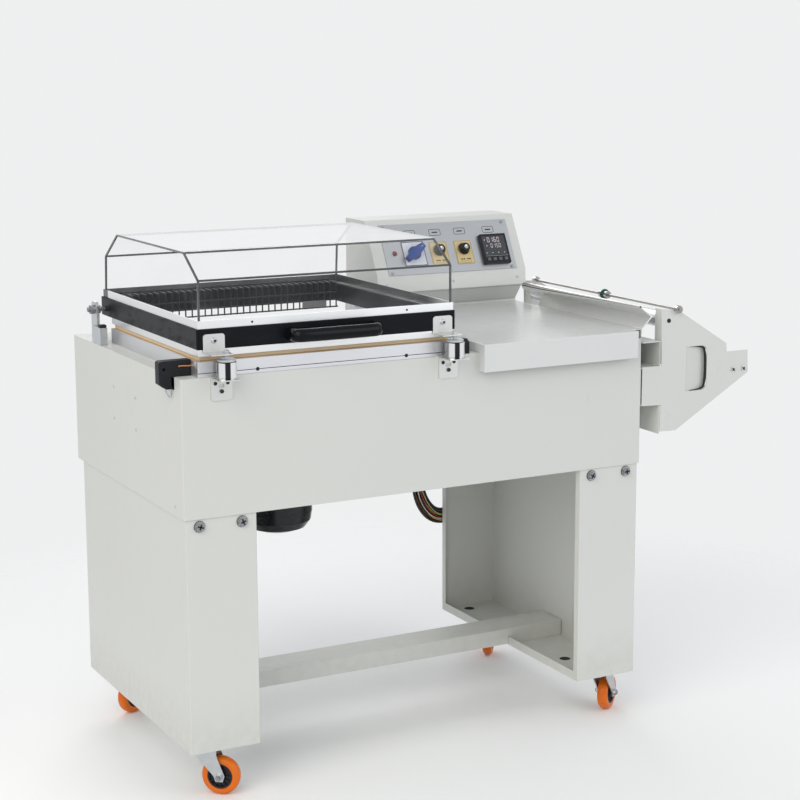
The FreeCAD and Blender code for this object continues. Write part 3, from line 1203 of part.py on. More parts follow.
def check(parts):
    for thing in doc.Objects:
        if "Invalid" in thing.State or "Error" in thing.State:
            raise RuntimeError(f"{thing.Name} ({thing.Label}) is {thing.State}")
        if thing.TypeId == "PartDesign::Pocket" and thing.BaseFeature is not None:
            if thing.Shape.Volume > thing.BaseFeature.Shape.Volume - 0.01:
                raise RuntimeError(f"{thing.Name} of {thing.getParentGeoFeatureGroup().Label} cuts nothing")
    for part in parts:
        if part.Shape.isNull() or not part.Shape.isValid():
            raise RuntimeError(f"{part.Label} has no valid shape")


build()
finished = sub_parts()
check(finished)
os.makedirs("parts", exist_ok=True)
for part in finished:
    part.Shape.exportStep(f"parts/{part.Label}.step")
print(len(finished), "sub-parts")
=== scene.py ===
import math

import bpy
from mathutils import Matrix, Vector


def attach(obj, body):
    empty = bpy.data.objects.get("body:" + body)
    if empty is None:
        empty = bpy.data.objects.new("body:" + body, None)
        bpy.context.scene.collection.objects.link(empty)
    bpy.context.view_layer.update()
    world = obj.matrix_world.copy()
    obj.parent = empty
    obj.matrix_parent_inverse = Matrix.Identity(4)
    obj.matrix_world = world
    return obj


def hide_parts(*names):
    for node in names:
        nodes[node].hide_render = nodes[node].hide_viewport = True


# Shrink wrapping machine: an L-seal cutter and hot air chamber under one clear hood.
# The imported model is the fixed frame; every piece below sits on it and rides with one of its bodies.
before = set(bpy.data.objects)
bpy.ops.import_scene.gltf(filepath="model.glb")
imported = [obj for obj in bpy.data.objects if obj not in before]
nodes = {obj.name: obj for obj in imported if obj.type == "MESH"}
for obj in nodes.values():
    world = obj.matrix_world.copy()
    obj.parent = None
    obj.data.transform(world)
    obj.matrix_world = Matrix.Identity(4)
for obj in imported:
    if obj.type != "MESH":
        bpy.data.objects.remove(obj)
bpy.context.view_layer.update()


def at(x, y, z):
    """A place in millimetres from the cabinet's front left corner and the floor, as a scene point."""
    return Vector(((x - 623.5) / 1000, (y - 281.5) / 1000, z / 1000))


# Camera: a long lens, a little above the worktable and to the left of the front.
# Its place was fitted to the cabinet's corners, so the picture lines up with the machine.
bpy.ops.object.camera_add(location=(-1.8100, -3.4028, 1.4060),
                          rotation=(math.radians(79.69), 0, math.radians(-28.93)))
camera = bpy.context.object
camera.data.sensor_width = 36
camera.data.lens = 84.46
camera.data.shift_x, camera.data.shift_y = -0.0549, -0.0205
bpy.context.scene.camera = camera


# Wire loom under the cabinet: a black sleeve with coloured wires wound over it, hung in a loop
# between two rubber grommets behind the right leg. It is the machine's only cord.
loom_route = [at(806, 596, 533), at(803, 596, 484), at(796, 596.5, 428), at(805, 597, 370),
              at(840, 597, 324), at(890, 597, 322), at(928, 596.5, 364), at(947, 596, 422),
              at(953, 596, 480), at(950, 596, 533)]


def deselect():
    if bpy.context.object and bpy.context.object.mode == "EDIT":
        bpy.ops.object.mode_set(mode="OBJECT")
    bpy.ops.object.select_all(action="DESELECT")


def pick_up(piece):
    """Makes one piece the selected and active one."""
    deselect()
    piece.select_set(True)
    bpy.context.view_layer.objects.active = piece


def drawn_curve(name, points, radius=0.0, kind="NURBS"):
    """A curve through a route's control points, round in section when it has a radius."""
    curve = bpy.data.curves.new(name, "CURVE")
    curve.dimensions = "3D"
    curve.resolution_u = 14
    curve.bevel_depth, curve.bevel_resolution = radius, 4
    curve.use_fill_caps = True
    spline = curve.splines.new(kind)
    spline.points.add(len(points) - 1)
    for point, place in zip(spline.points, points):
        point.co = (*place, 1)
    if kind == "NURBS":
        spline.order_u = 3
        spline.use_endpoint_u = True
    piece = bpy.data.objects.new(name, curve)
    bpy.context.scene.collection.objects.link(piece)
    return piece


def line_of(points):
    """The smooth line that a route's control points draw, as points close together."""
    bare = drawn_curve("bare_line", points)
    mesh = bpy.data.meshes.new_from_object(bare)
    line = [v.co.copy() for v in mesh.vertices]
    bpy.data.meshes.remove(mesh)
    bpy.data.objects.remove(bare)
    return line


def meshed(curve, swells=()):
    """A curve's tube as a mesh, thicker or thinner at its control points by the swells."""
    for point, swell in zip(curve.data.splines[0].points, swells):
        point.radius = swell
    pick_up(curve)
    bpy.ops.object.convert(target="MESH")
    return bpy.context.object


class Socket:
    """A shader socket; an expression on it adds the Math nodes that work it out."""

    def __init__(self, finish, link):
        self.finish, self.link = finish, link

    def __add__(self, other):
        return self.finish.math("ADD", self, other)

    def __sub__(self, other):
        return self.finish.math("SUBTRACT", self, other)

    def __rsub__(self, other):
        return self.finish.math("SUBTRACT", other, self)

    def __mul__(self, other):
        return self.finish.math("MULTIPLY", self, other)

    __radd__, __rmul__ = __add__, __mul__


class Finish:
    """One material of the machine or its room, with the few kinds of nodes that they are made from."""

    def __init__(self, name, kept_in=bpy.data.materials):
        self.owner = kept_in.new(name)
        self.owner.use_nodes = True
        self.tree = self.owner.node_tree
        self.tree.nodes.clear()
        self.place = self.node("ShaderNodeTexCoord", {}, {}, "Object")

    def node(self, kind, settings, inputs, output=None):
        """Adds a node: its settings first, then its sockets, and gives one of its outputs."""
        made = self.tree.nodes.new(kind)
        for name, value in settings.items():
            setattr(made, name, value)
        for name, value in inputs.items():
            socket = (made.inputs[name] if isinstance(name, int)
                      else next(s for s in made.inputs if s.name == name and s.enabled))
            if isinstance(value, Socket):
                self.tree.links.new(value.link, socket)
            elif socket.type == "RGBA" and len(value) == 3:
                socket.default_value = (*value, 1)
            else:
                socket.default_value = value
        if output is None:
            return Socket(self, next(s for s in made.outputs if s.enabled))
        return Socket(self, made.outputs[output])

    def math(self, operation, first, second):
        return self.node("ShaderNodeMath", {"operation": operation}, {0: first, 1: second})

    def noise(self, scale, detail=2.0, stretch=None):
        """Cloudy noise; a stretch per axis draws it out into streaks."""
        place = self.place
        if stretch:
            place = self.node("ShaderNodeMapping", {}, {"Vector": place, "Scale": stretch})
        return self.node("ShaderNodeTexNoise", {}, {"Vector": place, "Scale": scale, "Detail": detail})

    def ramp(self, value, low, high):
        """0 below low, 1 above high, smooth between."""
        return self.node("ShaderNodeMapRange", {"interpolation_type": "SMOOTHSTEP"},
                         {"Value": value, "From Min": low, "From Max": high})

    def mixed(self, mask, first, second):
        return self.node("ShaderNodeMix", {"data_type": "RGBA"}, {"Factor": mask, "A": first, "B": second})

    def axis(self, letter):
        return self.node("ShaderNodeSeparateXYZ", {}, {"Vector": self.place}, letter)

    def normal(self, letter):
        """How far the surface looks along one axis of the room, from -1 to 1."""
        way = self.node("ShaderNodeNewGeometry", {}, {}, "Normal")
        return self.node("ShaderNodeSeparateXYZ", {}, {"Vector": way}, letter)

    def surface(self, color, roughness, metallic=0.0, height=None, rise=0.0001, strength=1.0, **more):
        """Closes the material: one Principled shader, with a bump where the surface has relief."""
        inputs = {"Base Color": color, "Roughness": roughness, "Metallic": metallic}
        inputs.update({name.replace("_", " "): value for name, value in more.items()})
        if height is not None:
            inputs["Normal"] = self.node("ShaderNodeBump", {},
                                         {"Height": height, "Distance": rise, "Strength": strength})
        return self.close("ShaderNodeOutputMaterial", self.node("ShaderNodeBsdfPrincipled", {}, inputs))

    def close(self, kind, shader):
        out = self.tree.nodes.new(kind)
        self.tree.links.new(shader.link, out.inputs["Surface"])
        return self.owner


def coat(piece, material):
    """Gives a piece or a CAD node its finish, in every material slot that it has."""
    if piece.data.materials:
        for k in range(len(piece.data.materials)):
            piece.data.materials[k] = material
    else:
        piece.data.materials.append(material)


def plain_plastic(name, color, roughness=0.42, grain=0.3):
    """Moulded plastic with a fine leathery grain and slightly uneven gloss."""
    finish = Finish(name)
    spark = finish.noise(2600, 2)
    haze = finish.noise(35, 3)
    lighter = tuple(min(1, c * 1.18 + 0.002) for c in color)
    return finish.surface(finish.mixed(haze, color, lighter), haze * 0.16 + (roughness - 0.08),
                          height=spark, rise=0.00006, strength=grain, Specular_IOR_Level=0.26)


def strand(name, line, across, behind, thick, material):
    """One strand of a bundle: it runs beside the route's line and is drawn in to it at both ends."""
    places = []
    for k, centre in enumerate(line[2:-2]):
        share = k / (len(line) - 5)
        ahead = (line[k + 3] - line[k + 1]).normalized()
        inward = ahead.cross(Vector((0, 1, 0))).normalized()
        spread = math.sin(math.pi * share) ** 0.5 if 0 < share < 1 else 0
        waver = 0.0016 * math.sin(13 * share + 900 * across)
        places.append(centre + inward * spread * (across + waver) + Vector((0, behind * spread, 0)))
    wire = drawn_curve(name, places[::2], thick / 2, "POLY")
    wire.data.bevel_resolution = 3
    wire = meshed(wire)
    bpy.ops.object.shade_smooth()
    coat(wire, material)
    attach(wire, "root")
    return wire


def sleeve_finish():
    """Black spiral-wrapped sleeve: ribs across it every few millimetres, dusty on its ribs."""
    finish = Finish("loom_sleeve_black")
    ribs = finish.node("ShaderNodeTexWave", {"wave_type": "BANDS", "bands_direction": "Z"},
                       {"Vector": finish.place, "Scale": 150.0, "Distortion": 1.2})
    dust = finish.ramp(finish.noise(60, 4), 0.5, 0.75)
    return finish.surface(finish.mixed(dust * 0.5, (0.012, 0.012, 0.013), (0.06, 0.058, 0.055)),
                          dust * 0.2 + 0.42, height=ribs, rise=0.0006, strength=0.8)


loom_black = sleeve_finish()
loom_line = line_of(loom_route)
loom = drawn_curve("wire_loom_sleeve", loom_route, 0.0092)
coat(loom, loom_black)
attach(loom, "root")
for k, (across, behind, thick) in enumerate((
        (-0.0145, 0, 0.0085), (-0.0105, 0.003, 0.007), (0.0135, 0.001, 0.0085),
        (0.0075, -0.005, 0.0065), (-0.0065, -0.006, 0.006))):
    strand(f"loom_sleeve_{k + 1}", loom_line, across, behind, thick, loom_black)
for colour, value, across, behind in (
        ("yellow", (0.75, 0.55, 0.06), -0.0098, -0.0075), ("white", (0.78, 0.78, 0.74), -0.0068, -0.0098),
        ("yellow_green", (0.35, 0.5, 0.08), 0.001, -0.0105), ("red", (0.6, 0.03, 0.02), -0.0025, -0.0108),
        ("cream", (0.7, 0.62, 0.4), 0.0042, -0.0092), ("painted_brown_reflection", (0.25, 0.09, 0.03), -0.0125, -0.005)):
    jacket = plain_plastic(f"wire_jacket_{colour}", value, 0.4, 0.1)
    strand(f"loom_wire_{colour}", loom_line, across, behind, 0.0018, jacket)
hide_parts("wire_loom")
black_rubber_and_shade = plain_plastic("grommet_rubber_and_shade", (0.014, 0.014, 0.015), 0.6, 0.5)
coat(nodes["loom_glands"], black_rubber_and_shade)


# Casters: a zinc-plated top plate with a raised race and four bolts, a pressed fork that swivels
# under it, and an orange polyurethane tread moulded on a black ribbed core, on an axle bolt.
def mm(*places):
    return tuple(p / 1000 for p in places)


def turned(name, outline, steps=48, axis="Z"):
    """A turned shape: an outline of (radius, height) in millimetres, spun about Z and laid along an axis."""
    mesh = bpy.data.meshes.new(name)
    mesh.from_pydata([mm(r, 0, h) for r, h in outline],
                     [(k, k + 1) for k in range(len(outline) - 1)], [])
    piece = bpy.data.objects.new(name, mesh)
    bpy.context.scene.collection.objects.link(piece)
    pick_up(piece)
    bpy.ops.object.mode_set(mode="EDIT")
    bpy.ops.mesh.select_all(action="SELECT")
    bpy.ops.mesh.spin(steps=steps, angle=2 * math.pi, center=(0, 0, 0), axis=(0, 0, 1))
    bpy.ops.mesh.remove_doubles(threshold=1e-6)
    bpy.ops.mesh.normals_make_consistent(inside=False)
    bpy.ops.object.mode_set(mode="OBJECT")
    piece.rotation_euler = (math.pi / 2 if axis == "Y" else 0, 0, 0)
    bpy.ops.object.transform_apply(location=True, rotation=True, scale=True)
    return piece


def move_to(piece, place=(0, 0, 0), turn=None):
    """Puts a piece at its place, with its object back at the origin, and gives it back."""
    pick_up(piece)
    piece.matrix_world = Matrix.Translation(place) @ (turn or Matrix()) @ piece.matrix_world
    bpy.ops.object.transform_apply(location=True, rotation=True, scale=True)
    return piece


def smooth(piece, degrees=35):
    pick_up(piece)
    bpy.ops.object.shade_smooth_by_angle(angle=math.radians(degrees))


def settle(piece, body, material, replaces=()):
    """The last step of a piece: round where it is round and level where it is level, painted, and riding."""
    smooth(piece)
    level = piece.modifiers.new("level_faces", "WEIGHTED_NORMAL")
    level.keep_sharp = True
    bpy.ops.object.modifier_apply(modifier="level_faces")
    coat(piece, material)
    if replaces:
        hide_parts(*replaces)
    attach(piece, body)


def fused(name, pieces):
    """Several shapes of one material as one piece."""
    pick_up(pieces[0])
    for piece in pieces:
        piece.select_set(True)
    bpy.ops.object.join()
    whole = bpy.context.object
    whole.name = whole.data.name = name
    return whole


def bevelled(piece, width, segments, degrees=30):
    bevel = piece.modifiers.new("edges", "BEVEL")
    bevel.width, bevel.segments, bevel.limit_method = width, segments, "ANGLE"
    bevel.angle_limit = math.radians(degrees)
    pick_up(piece)
    bpy.ops.object.modifier_apply(modifier="edges")


def block(name, low, high, round_by=0.0, segments=2):
    """A rectangular piece between two corners in scene metres, its edges rounded."""
    low, high = Vector(low), Vector(high)
    deselect()
    bpy.ops.mesh.primitive_cube_add(size=1, location=(low + high) / 2, scale=high - low)
    piece = bpy.context.object
    piece.name = piece.data.name = name
    bpy.ops.object.transform_apply(location=True, rotation=True, scale=True)
    if round_by:
        bevelled(piece, round_by, segments)
    return piece


def dressed(node, name, width, material, body="root", segments=2):
    """A copy stands for a CAD node, its facets merged flat and its edges broken, as folded or cut metal is."""
    pick_up(nodes[node])
    bpy.ops.object.duplicate(linked=False)
    piece = bpy.context.object
    piece.name = piece.data.name = name
    for key in [key for key in piece.keys() if key.startswith("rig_")]:
        del piece[key]
    piece.parent = None
    bpy.ops.object.mode_set(mode="EDIT")
    bpy.ops.mesh.select_all(action="SELECT")
    bpy.ops.mesh.remove_doubles(threshold=2e-6)
    bpy.ops.mesh.dissolve_limited(angle_limit=math.radians(0.6))
    bpy.ops.object.mode_set(mode="OBJECT")
    bevelled(piece, width, segments, 28)
    settle(piece, body, material, [node])


def zinc_finish(name, color, roughness, spangle):
    """Bright zinc plate: bluish, faintly clouded and rubbed."""
    finish = Finish(name)
    cloud = finish.noise(70, 3)
    rub = finish.ramp(finish.noise(900, 2), 0.55, 0.8)
    darker = tuple(c * (1 - spangle) for c in color)
    return finish.surface(finish.mixed(cloud, darker, color), cloud * 0.22 + rub * 0.1 + (roughness - 0.1),
                          1.0, height=finish.noise(400, 3), rise=0.00008, strength=0.35)


zinc = zinc_finish("bright_zinc", (0.62, 0.645, 0.67), 0.34, 0.28)
dark_zinc = zinc_finish("dulled_zinc", (0.36, 0.37, 0.39), 0.44, 0.35)


def tread_finish():
    """Orange polyurethane: waxy, a little see-through at its edges, with a scuffed and dusty running face."""
    finish = Finish("caster_tread_orange")
    scuff = finish.ramp(finish.noise(240, 4), 0.52, 0.7)
    cloud = finish.noise(28, 2)
    color = finish.mixed(cloud, (0.66, 0.115, 0.004), (0.8, 0.19, 0.008))
    return finish.surface(finish.mixed(scuff * 0.35, color, (0.42, 0.2, 0.1)), scuff * 0.25 + 0.3,
                          height=finish.noise(700, 3), rise=0.0001, strength=0.4, Subsurface_Weight=0.12,
                          Subsurface_Radius=(0.006, 0.002, 0.001), Specular_IOR_Level=0.25)


tread_orange = tread_finish()
hub_black = plain_plastic("caster_hub_black", (0.016, 0.016, 0.018), 0.38, 0.3)
tread_outline = [(24, -10.5), (30.5, -11), (33.5, -10.2), (36.2, -7.4), (37.3, -3.6), (37.5, 0), (37.3, 3.6),
                 (36.2, 7.4), (33.5, 10.2), (30.5, 11), (24, 10.5), (23, 0), (24, -10.5)]
nut_outline = [(0, 0), (7, 0), (7, 4.6), (6.2, 5.2), (4.2, 5.2), (4.1, 7.2), (3.6, 7.9), (0, 7.9)]
ring_outline = [(19, 0), (24.8, 0), (25.6, 1.4), (25.6, 3), (24.6, 3.6), (19, 3.6), (19, 0)]


def caster_hub(name):
    """The wheel's core: a turned boss and rim with a thin web between them, ribbed on both sides."""
    core = turned("core", [(4.4, -12), (8.5, -12), (9.4, -11.2), (10, -7), (20.5, -6.2), (21.5, -10.6), (24.6, -11),
                           (24.6, 11), (21.5, 10.6), (20.5, 6.2), (10, 7), (9.4, 11.2), (8.5, 12), (4.4, 12),
                           (4.4, -12)], 48, "Y")
    ribs = [move_to(block("rib", (0.0085, -0.0098, -0.0009), (0.022, 0.0098, 0.0009), 0.0004),
                    turn=Matrix.Rotation(k * math.pi / 6, 4, "Y")) for k in range(12)]
    return fused(name, [core, *ribs])


trail, wheel_radius, race_under, plate_under = 0.028, 0.0375, 0.0918, 0.0974
for place, x, y, degrees in (("front_left", 55, 55, -40), ("front_right", 955, 55, 38),
                             ("rear_left", 55, 531, 25), ("rear_right", 955, 531, -127)):
    turn = Matrix.Rotation(math.radians(degrees), 4, "Z")
    kingpin = at(x, y, 0)
    axle = kingpin + turn @ Vector((trail, 0, wheel_radius))
    tread = turned(f"caster_tread_{place}", tread_outline, 64, "Y")
    settle(move_to(tread, axle, turn), f"{place}_wheel", tread_orange, [f"wheel_{place}"])
    settle(move_to(caster_hub(f"caster_hub_{place}"), axle, turn), f"{place}_wheel", hub_black)
    dressed(f"fork_{place}", f"caster_fork_{place}", 0.0005, zinc, f"{place}_fork")
    nuts = [move_to(turned("nut", nut_outline, 6), axle + turn @ Vector((0, -side * 0.0166, 0)),
                    turn @ Matrix.Rotation(side * math.pi / 2, 4, "X")) for side in (-1, 1)]
    settle(fused(f"caster_axle_nuts_{place}", nuts), f"{place}_fork", dark_zinc)
    studs = [move_to(turned("stud", nut_outline, 6),
                     kingpin + Vector((0.0305 * along, 0.0245 * across, plate_under)),
                     Matrix.Rotation(math.pi, 4, "X") @ Matrix.Rotation(0.4 * along + across, 4, "Z"))
             for along in (-1, 1) for across in (-1, 1)]
    ring = move_to(turned("race_seal", ring_outline), kingpin + Vector((0, 0, race_under)))
    settle(fused(f"caster_plate_bolts_{place}", [*studs, ring]), "root", dark_zinc)
coat(nodes["caster_plates"], zinc)


# Legs and cross bar: folded sheet steel with return lips, powder coated ivory with a fine orange-peel
# grain; the feet and lips collect a little dust and a few scuffs.
def powder_coat(name, color, floor_dust=True, roughness=0.36, sheen=0.45):
    finish = Finish(name)
    cloud = finish.noise(2.2, 3)
    mottle = finish.noise(45, 3)
    grain = finish.noise(1150, 2)
    shade = finish.mixed(cloud, tuple(c * 0.965 for c in color), tuple(min(1, c * 1.015) for c in color))
    shade = finish.mixed(mottle * 0.12, shade, tuple(c * 0.9 for c in color))
    scuff = finish.ramp(finish.noise(26, 5, (1, 1, 0.25)), 0.7, 0.78) * finish.ramp(finish.noise(3, 2), 0.5, 0.62)
    shade = finish.mixed(scuff * 0.35, shade, (0.3, 0.29, 0.27))
    if floor_dust:
        low = 1 - finish.ramp(finish.axis("Z"), 0.1, 0.22)
        shade = finish.mixed(low * mottle * 0.3, shade, (0.36, 0.34, 0.3))
    return finish.surface(shade, mottle * 0.14 + scuff * 0.15 + roughness, height=grain * 0.7 + mottle * 0.5,
                          rise=0.00022, strength=0.5, Specular_IOR_Level=sheen)


def scattered(name, outline, steps, places, turn=None):
    """One turned shape, made at several places and joined as one piece."""
    return fused(name, [move_to(turned("part", outline, steps), place, turn) for place in places])


ivory_coat = powder_coat("ivory_powder_coat", (0.663, 0.669, 0.64))
for node, width in (("left_leg", 0.0007), ("right_leg", 0.0007), ("cross_bar", 0.0009)):
    dressed(node, f"{node}_sheet", width, ivory_coat)
# black discs just inside the cable holes in the leg floors are painted shade seen through the holes
hole_shade_places = [at(x, y, 100) for x in (58.5, 911.5) for y in (136.5, 552)]
settle(scattered("leg_floor_hole_shade", [(0, 0.9), (9.6, 0.9), (11.8, 1.6), (11.8, 0.2), (0, 0.2)], 32, hole_shade_places),
       "root", black_rubber_and_shade)


# Leg bolts: zinc-plated steel bolts with a cross recess in the head, two on each leg's front, each through
# a wide washer; a dark ring round the washer is painted contact shadow and dark bars in the recess are
# painted shade; their shanks and the panel plate's four screws are dulled zinc.
def in_row(y, z, *across):
    """Places side by side, at one depth and height."""
    return [at(x, y, z) for x in across]


def cross_slots(place, turn, arms, front, back):
    """Two dark bars that lie crosswise in a bolt's head, between two depths: painted shade in its cross recess."""
    return [move_to(block("slot", mm(-long, front, -wide), mm(long, back, wide)), place, turn)
            for long, wide in arms]


leg_bolts, painted_recess_shade = [], []
for k, place in enumerate(in_row(2.5, 536, 30.5, 114.5, 883.5, 967.5)):
    turn = Matrix.Rotation(0.3 + k * 0.9, 4, "Y")
    washer = turned("washer", [(4, 0), (10.3, 0), (10.5, 0.4), (10.5, 1.6), (10, 2), (4, 2), (4, 0)], 48, "Y")
    bolt = turned("bolt", [(0, 3.2), (5.4, 3.2), (6.4, 4.6), (7.7, 4.6), (7.7, 0.4), (7.2, 0), (0, 0)], 6, "Y")
    # the rim is a dark ring round the washer: painted contact shadow
    rim = turned("rim", [(9.6, 0), (11, 0), (11, 1.2), (10.4, 1.7), (9.6, 1.7), (9.6, 0)], 48, "Y")
    leg_bolts += [move_to(washer, place, turn), move_to(bolt, place - Vector(mm(0, 2, 0)), turn)]
    painted_recess_shade += [move_to(rim, place), *cross_slots(place, turn, ((6.4, 1.5), (1.5, 5.4)), -7.2, -5.6)]
bright_zinc = zinc_finish("plate_bright_zinc", (0.66, 0.66, 0.65), 0.48, 0.1)
settle(fused("leg_bolts", leg_bolts), "root", bright_zinc)
# near black: painted shade in recesses and gaps, and dark screw heads
dark_screws_and_recess_shade = zinc_finish("dark_screws_and_recess_shade", (0.05, 0.052, 0.055), 0.4, 0.4)
settle(fused("leg_bolt_painted_shade", painted_recess_shade), "root", dark_screws_and_recess_shade)
coat(nodes["screws"], dark_zinc)


# Cabinet: a welded and painted sheet box with a bottom sheet, and painted pan-head screws on its left
# side that hold the chamber's lining.
dressed("cabinet_shell", "cabinet_skin", 0.0012, ivory_coat, segments=3)
coat(nodes["bottom_pan"], ivory_coat)
screw_outline = [(0, 0.4), (1.1, 0.5), (1.3, 1.6), (2.5, 1.4), (3.4, 0.7), (3.6, 0), (0, 0)]
toward_left = Matrix.Rotation(-math.pi / 2, 4, "Y")
toward_front = Matrix.Rotation(math.pi / 2, 4, "X")
side_places = [at(0, y, z) for y, z in ((366, 741), (243, 739), (366, 678), (243, 676), (42, 569))]
painted_screw = powder_coat("painted_screw", (0.56, 0.57, 0.55), floor_dust=False)
settle(scattered("cabinet_side_screws", screw_outline, 20, side_places, toward_left), "root", painted_screw)


# Fan motor: a pressed steel can with a domed end, painted gloss black and bolted under the bottom
# sheet.
def black_paint(name, roughness, dust, orange_peel=0.5, sheen=0.3):
    finish = Finish(name)
    smear = finish.ramp(finish.noise(22, 4, (1, 1, 3)), 0.45, 0.8)
    specks = finish.ramp(finish.noise(420, 3), 0.62, 0.72)
    color = finish.mixed(smear * dust, (0.004, 0.005, 0.007), (0.04, 0.047, 0.065))
    return finish.surface(finish.mixed(specks * dust * 0.3, color, (0.3, 0.3, 0.3)),
                          smear * min(0.22, dust * 3) + roughness, height=finish.noise(800, 2), rise=0.0001,
                          strength=orange_peel, Specular_IOR_Level=sheen)


motor_x, motor_y = 307, 280


def round_motor(radius, height, count, start):
    """Places evenly round the motor's axis, the first at an angle."""
    angles = [start + k * 2 * math.pi / count for k in range(count)]
    return [at(motor_x + radius * math.cos(angle), motor_y + radius * math.sin(angle), height)
            for angle in angles]


smooth(nodes["fan_motor"])
coat(nodes["fan_motor"], black_paint("motor_black_enamel", 0.22, 0.25, sheen=0.4))
settle(scattered("motor_flange_bolts", [(0, 0), (5.8, 0), (5.8, -4), (0, -4.6)], 6,
                 round_motor(74.5, 524, 4, math.pi / 4)), "root", zinc)


# Shrink chamber: an aluminised steel tub darkened by heat, with a wire tray for the goods, two
# hairpin heaters along its sides and the large bladed fan wheel in its floor.
def heat_darkened(name, color, hot, roughness):
    finish = Finish(name)
    stain = finish.noise(7, 4)
    streak = finish.noise(30, 3, (1, 1, 0.15))
    return finish.surface(finish.mixed(finish.ramp(stain, 0.35, 0.7), color, hot), streak * 0.3 + roughness, 0.85,
                          height=finish.noise(500, 2), rise=0.0001, strength=0.4)


coat(nodes["chamber_tub"],
     heat_darkened("chamber_darkened_steel", (0.16, 0.155, 0.15), (0.075, 0.062, 0.052), 0.32))
coat(nodes["heater_tubes"], heat_darkened("heater_sheath", (0.3, 0.25, 0.2), (0.12, 0.09, 0.11), 0.35))
coat(nodes["product_tray"], heat_darkened("tray_wire_steel", (0.4, 0.395, 0.385), (0.2, 0.18, 0.16), 0.3))
fan_steel = zinc_finish("fan_pressed_steel", (0.55, 0.56, 0.57), 0.36, 0.2)
dressed("fan_wheel", "fan_bladed_wheel", 0.0003, fan_steel, body="fan", segments=1)
coat(nodes["fan_shaft"], dark_zinc)
settle(scattered("fan_blade_rivets", [(0, 1.4), (1.8, 1.1), (2.6, 0), (0, 0)], 10,
                 round_motor(58, 619.5, 12, 0.16)), "fan", dark_zinc)
# perforated air guide on the chamber's back wall, seen through the hood: its punched slots are dark blocks, painted
# shade seen through the holes
slots = [block("slot", at(92 + 17 * column, 506, 726 + 26 * row), at(101 + 17 * column, 506.4, 745 + 26 * row))
         for row in range(3) for column in range(26)]
settle(fused("air_guide_slots", slots), "root", black_paint("slot_shadow", 0.6, 0.1))


# Sealing bars: extruded aluminium with a step line along the front, brushed and clear anodised;
# tan glass-cloth tape over the hot wire, scorched along the wire's line.
def brushed(name, color, stretch, roughness=0.3, depth=0.5):
    """Metal brushed along one axis: the stretch is small along the strokes and large across them."""
    finish = Finish(name)
    stroke = finish.noise(60, 3, stretch)
    cloud = finish.noise(9, 2)
    tone = finish.mixed(stroke, tuple(c * 0.86 for c in color), tuple(min(1, c * 1.07) for c in color))
    return finish.surface(finish.mixed(cloud * 0.25, tone, tuple(c * 0.8 for c in color)),
                          stroke * 0.18 + (roughness - 0.08), 1.0, height=stroke, rise=0.00008, strength=depth)


aluminium_x = brushed("bar_aluminium_long", (0.7, 0.705, 0.73), (0.6, 22, 22), 0.46)
dressed("seal_bars", "sealing_bars", 0.0006, aluminium_x)


def tape_finish():
    """Woven glass cloth under a slick tan coating, browned where the hot wire presses."""
    finish = Finish("release_tape_tan")
    x, y = finish.axis("X"), finish.axis("Y")
    front_line = 1 - finish.ramp(finish.math("ABSOLUTE", y - at(0, 16, 0).y, 0.0), 0.0008, 0.003)
    side_line = 1 - finish.ramp(finish.math("ABSOLUTE", x - at(44.5, 0, 0).x, 0.0), 0.0008, 0.003)
    scorch = finish.math("MAXIMUM", front_line, side_line) * finish.ramp(finish.noise(40, 4), 0.3, 0.6)
    weave = (finish.math("SINE", x * 5200, 0.0) * finish.math("SINE", y * 5200, 0.0)) * 0.5 + 0.5
    tone = finish.mixed(weave, (0.56, 0.37, 0.18), (0.68, 0.47, 0.25))
    return finish.surface(finish.mixed(scorch * 0.75, tone, (0.2, 0.1, 0.04)), weave * 0.15 + 0.35,
                          height=weave, rise=0.00008, strength=0.5)


coat(nodes["seal_tapes"], tape_finish())
terminal_black = plain_plastic("terminal_block_black", (0.006, 0.007, 0.01), 0.5, 0.3)
dressed("terminal_blocks", "terminal_block_mouldings", 0.0011, terminal_black, segments=3)


def copper_finish():
    finish = Finish("wire_end_copper")
    tarnish = finish.noise(160, 3)
    return finish.surface(finish.mixed(tarnish, (0.78, 0.36, 0.17), (0.45, 0.2, 0.1)), tarnish * 0.2 + 0.2, 1.0)


wire_end = drawn_curve("hot_wire_end", [at(9, 33.4, 830), at(14, 32.6, 831), at(22, 32.4, 830.4),
                                        at(30, 32.8, 829.6), at(36, 32.4, 830.6)], 0.0016)
settle(meshed(wire_end), "root", copper_finish())
spring_clip = drawn_curve("tension_clip", [at(-13, 44, 790), at(-11, 44, 781), at(-8, 44, 776), at(-3.4, 44, 772),
                                           at(-2.4, 44, 780), at(-2.6, 44, 788)], 0.0013)
settle(meshed(spring_clip), "root", zinc)
# the sealing bar's screws are dark all over: their own dark heads together with painted shade in their slots
settle(scattered("sealing_bar_screws", screw_outline, 20, in_row(2, 818.5, 151, 458), toward_front),
       "root", dark_screws_and_recess_shade)
# a thin dark strip along the front step line is painted shade in that groove
settle(block("sealing_bar_groove_shade", at(34.3, 2.3, 818.05), at(574.7, 2.9, 818.95)), "root", black_rubber_and_shade)


# Hinge: zinc-plated steel posts with an ear each, on the deck beside the lid's rear corners; the
# pins are bolts with lock nuts that turn with the lid, and a rubber buffer caps the left post.
dressed("hinge_posts", "hinge_post_plates", 0.0008, zinc)
coat(nodes["hinge_pins"], dark_zinc)
settle(block("hinge_post_buffer", at(1.5, 442, 846), at(15.5, 456, 852), 0.002, 3), "root", black_rubber_and_shade)


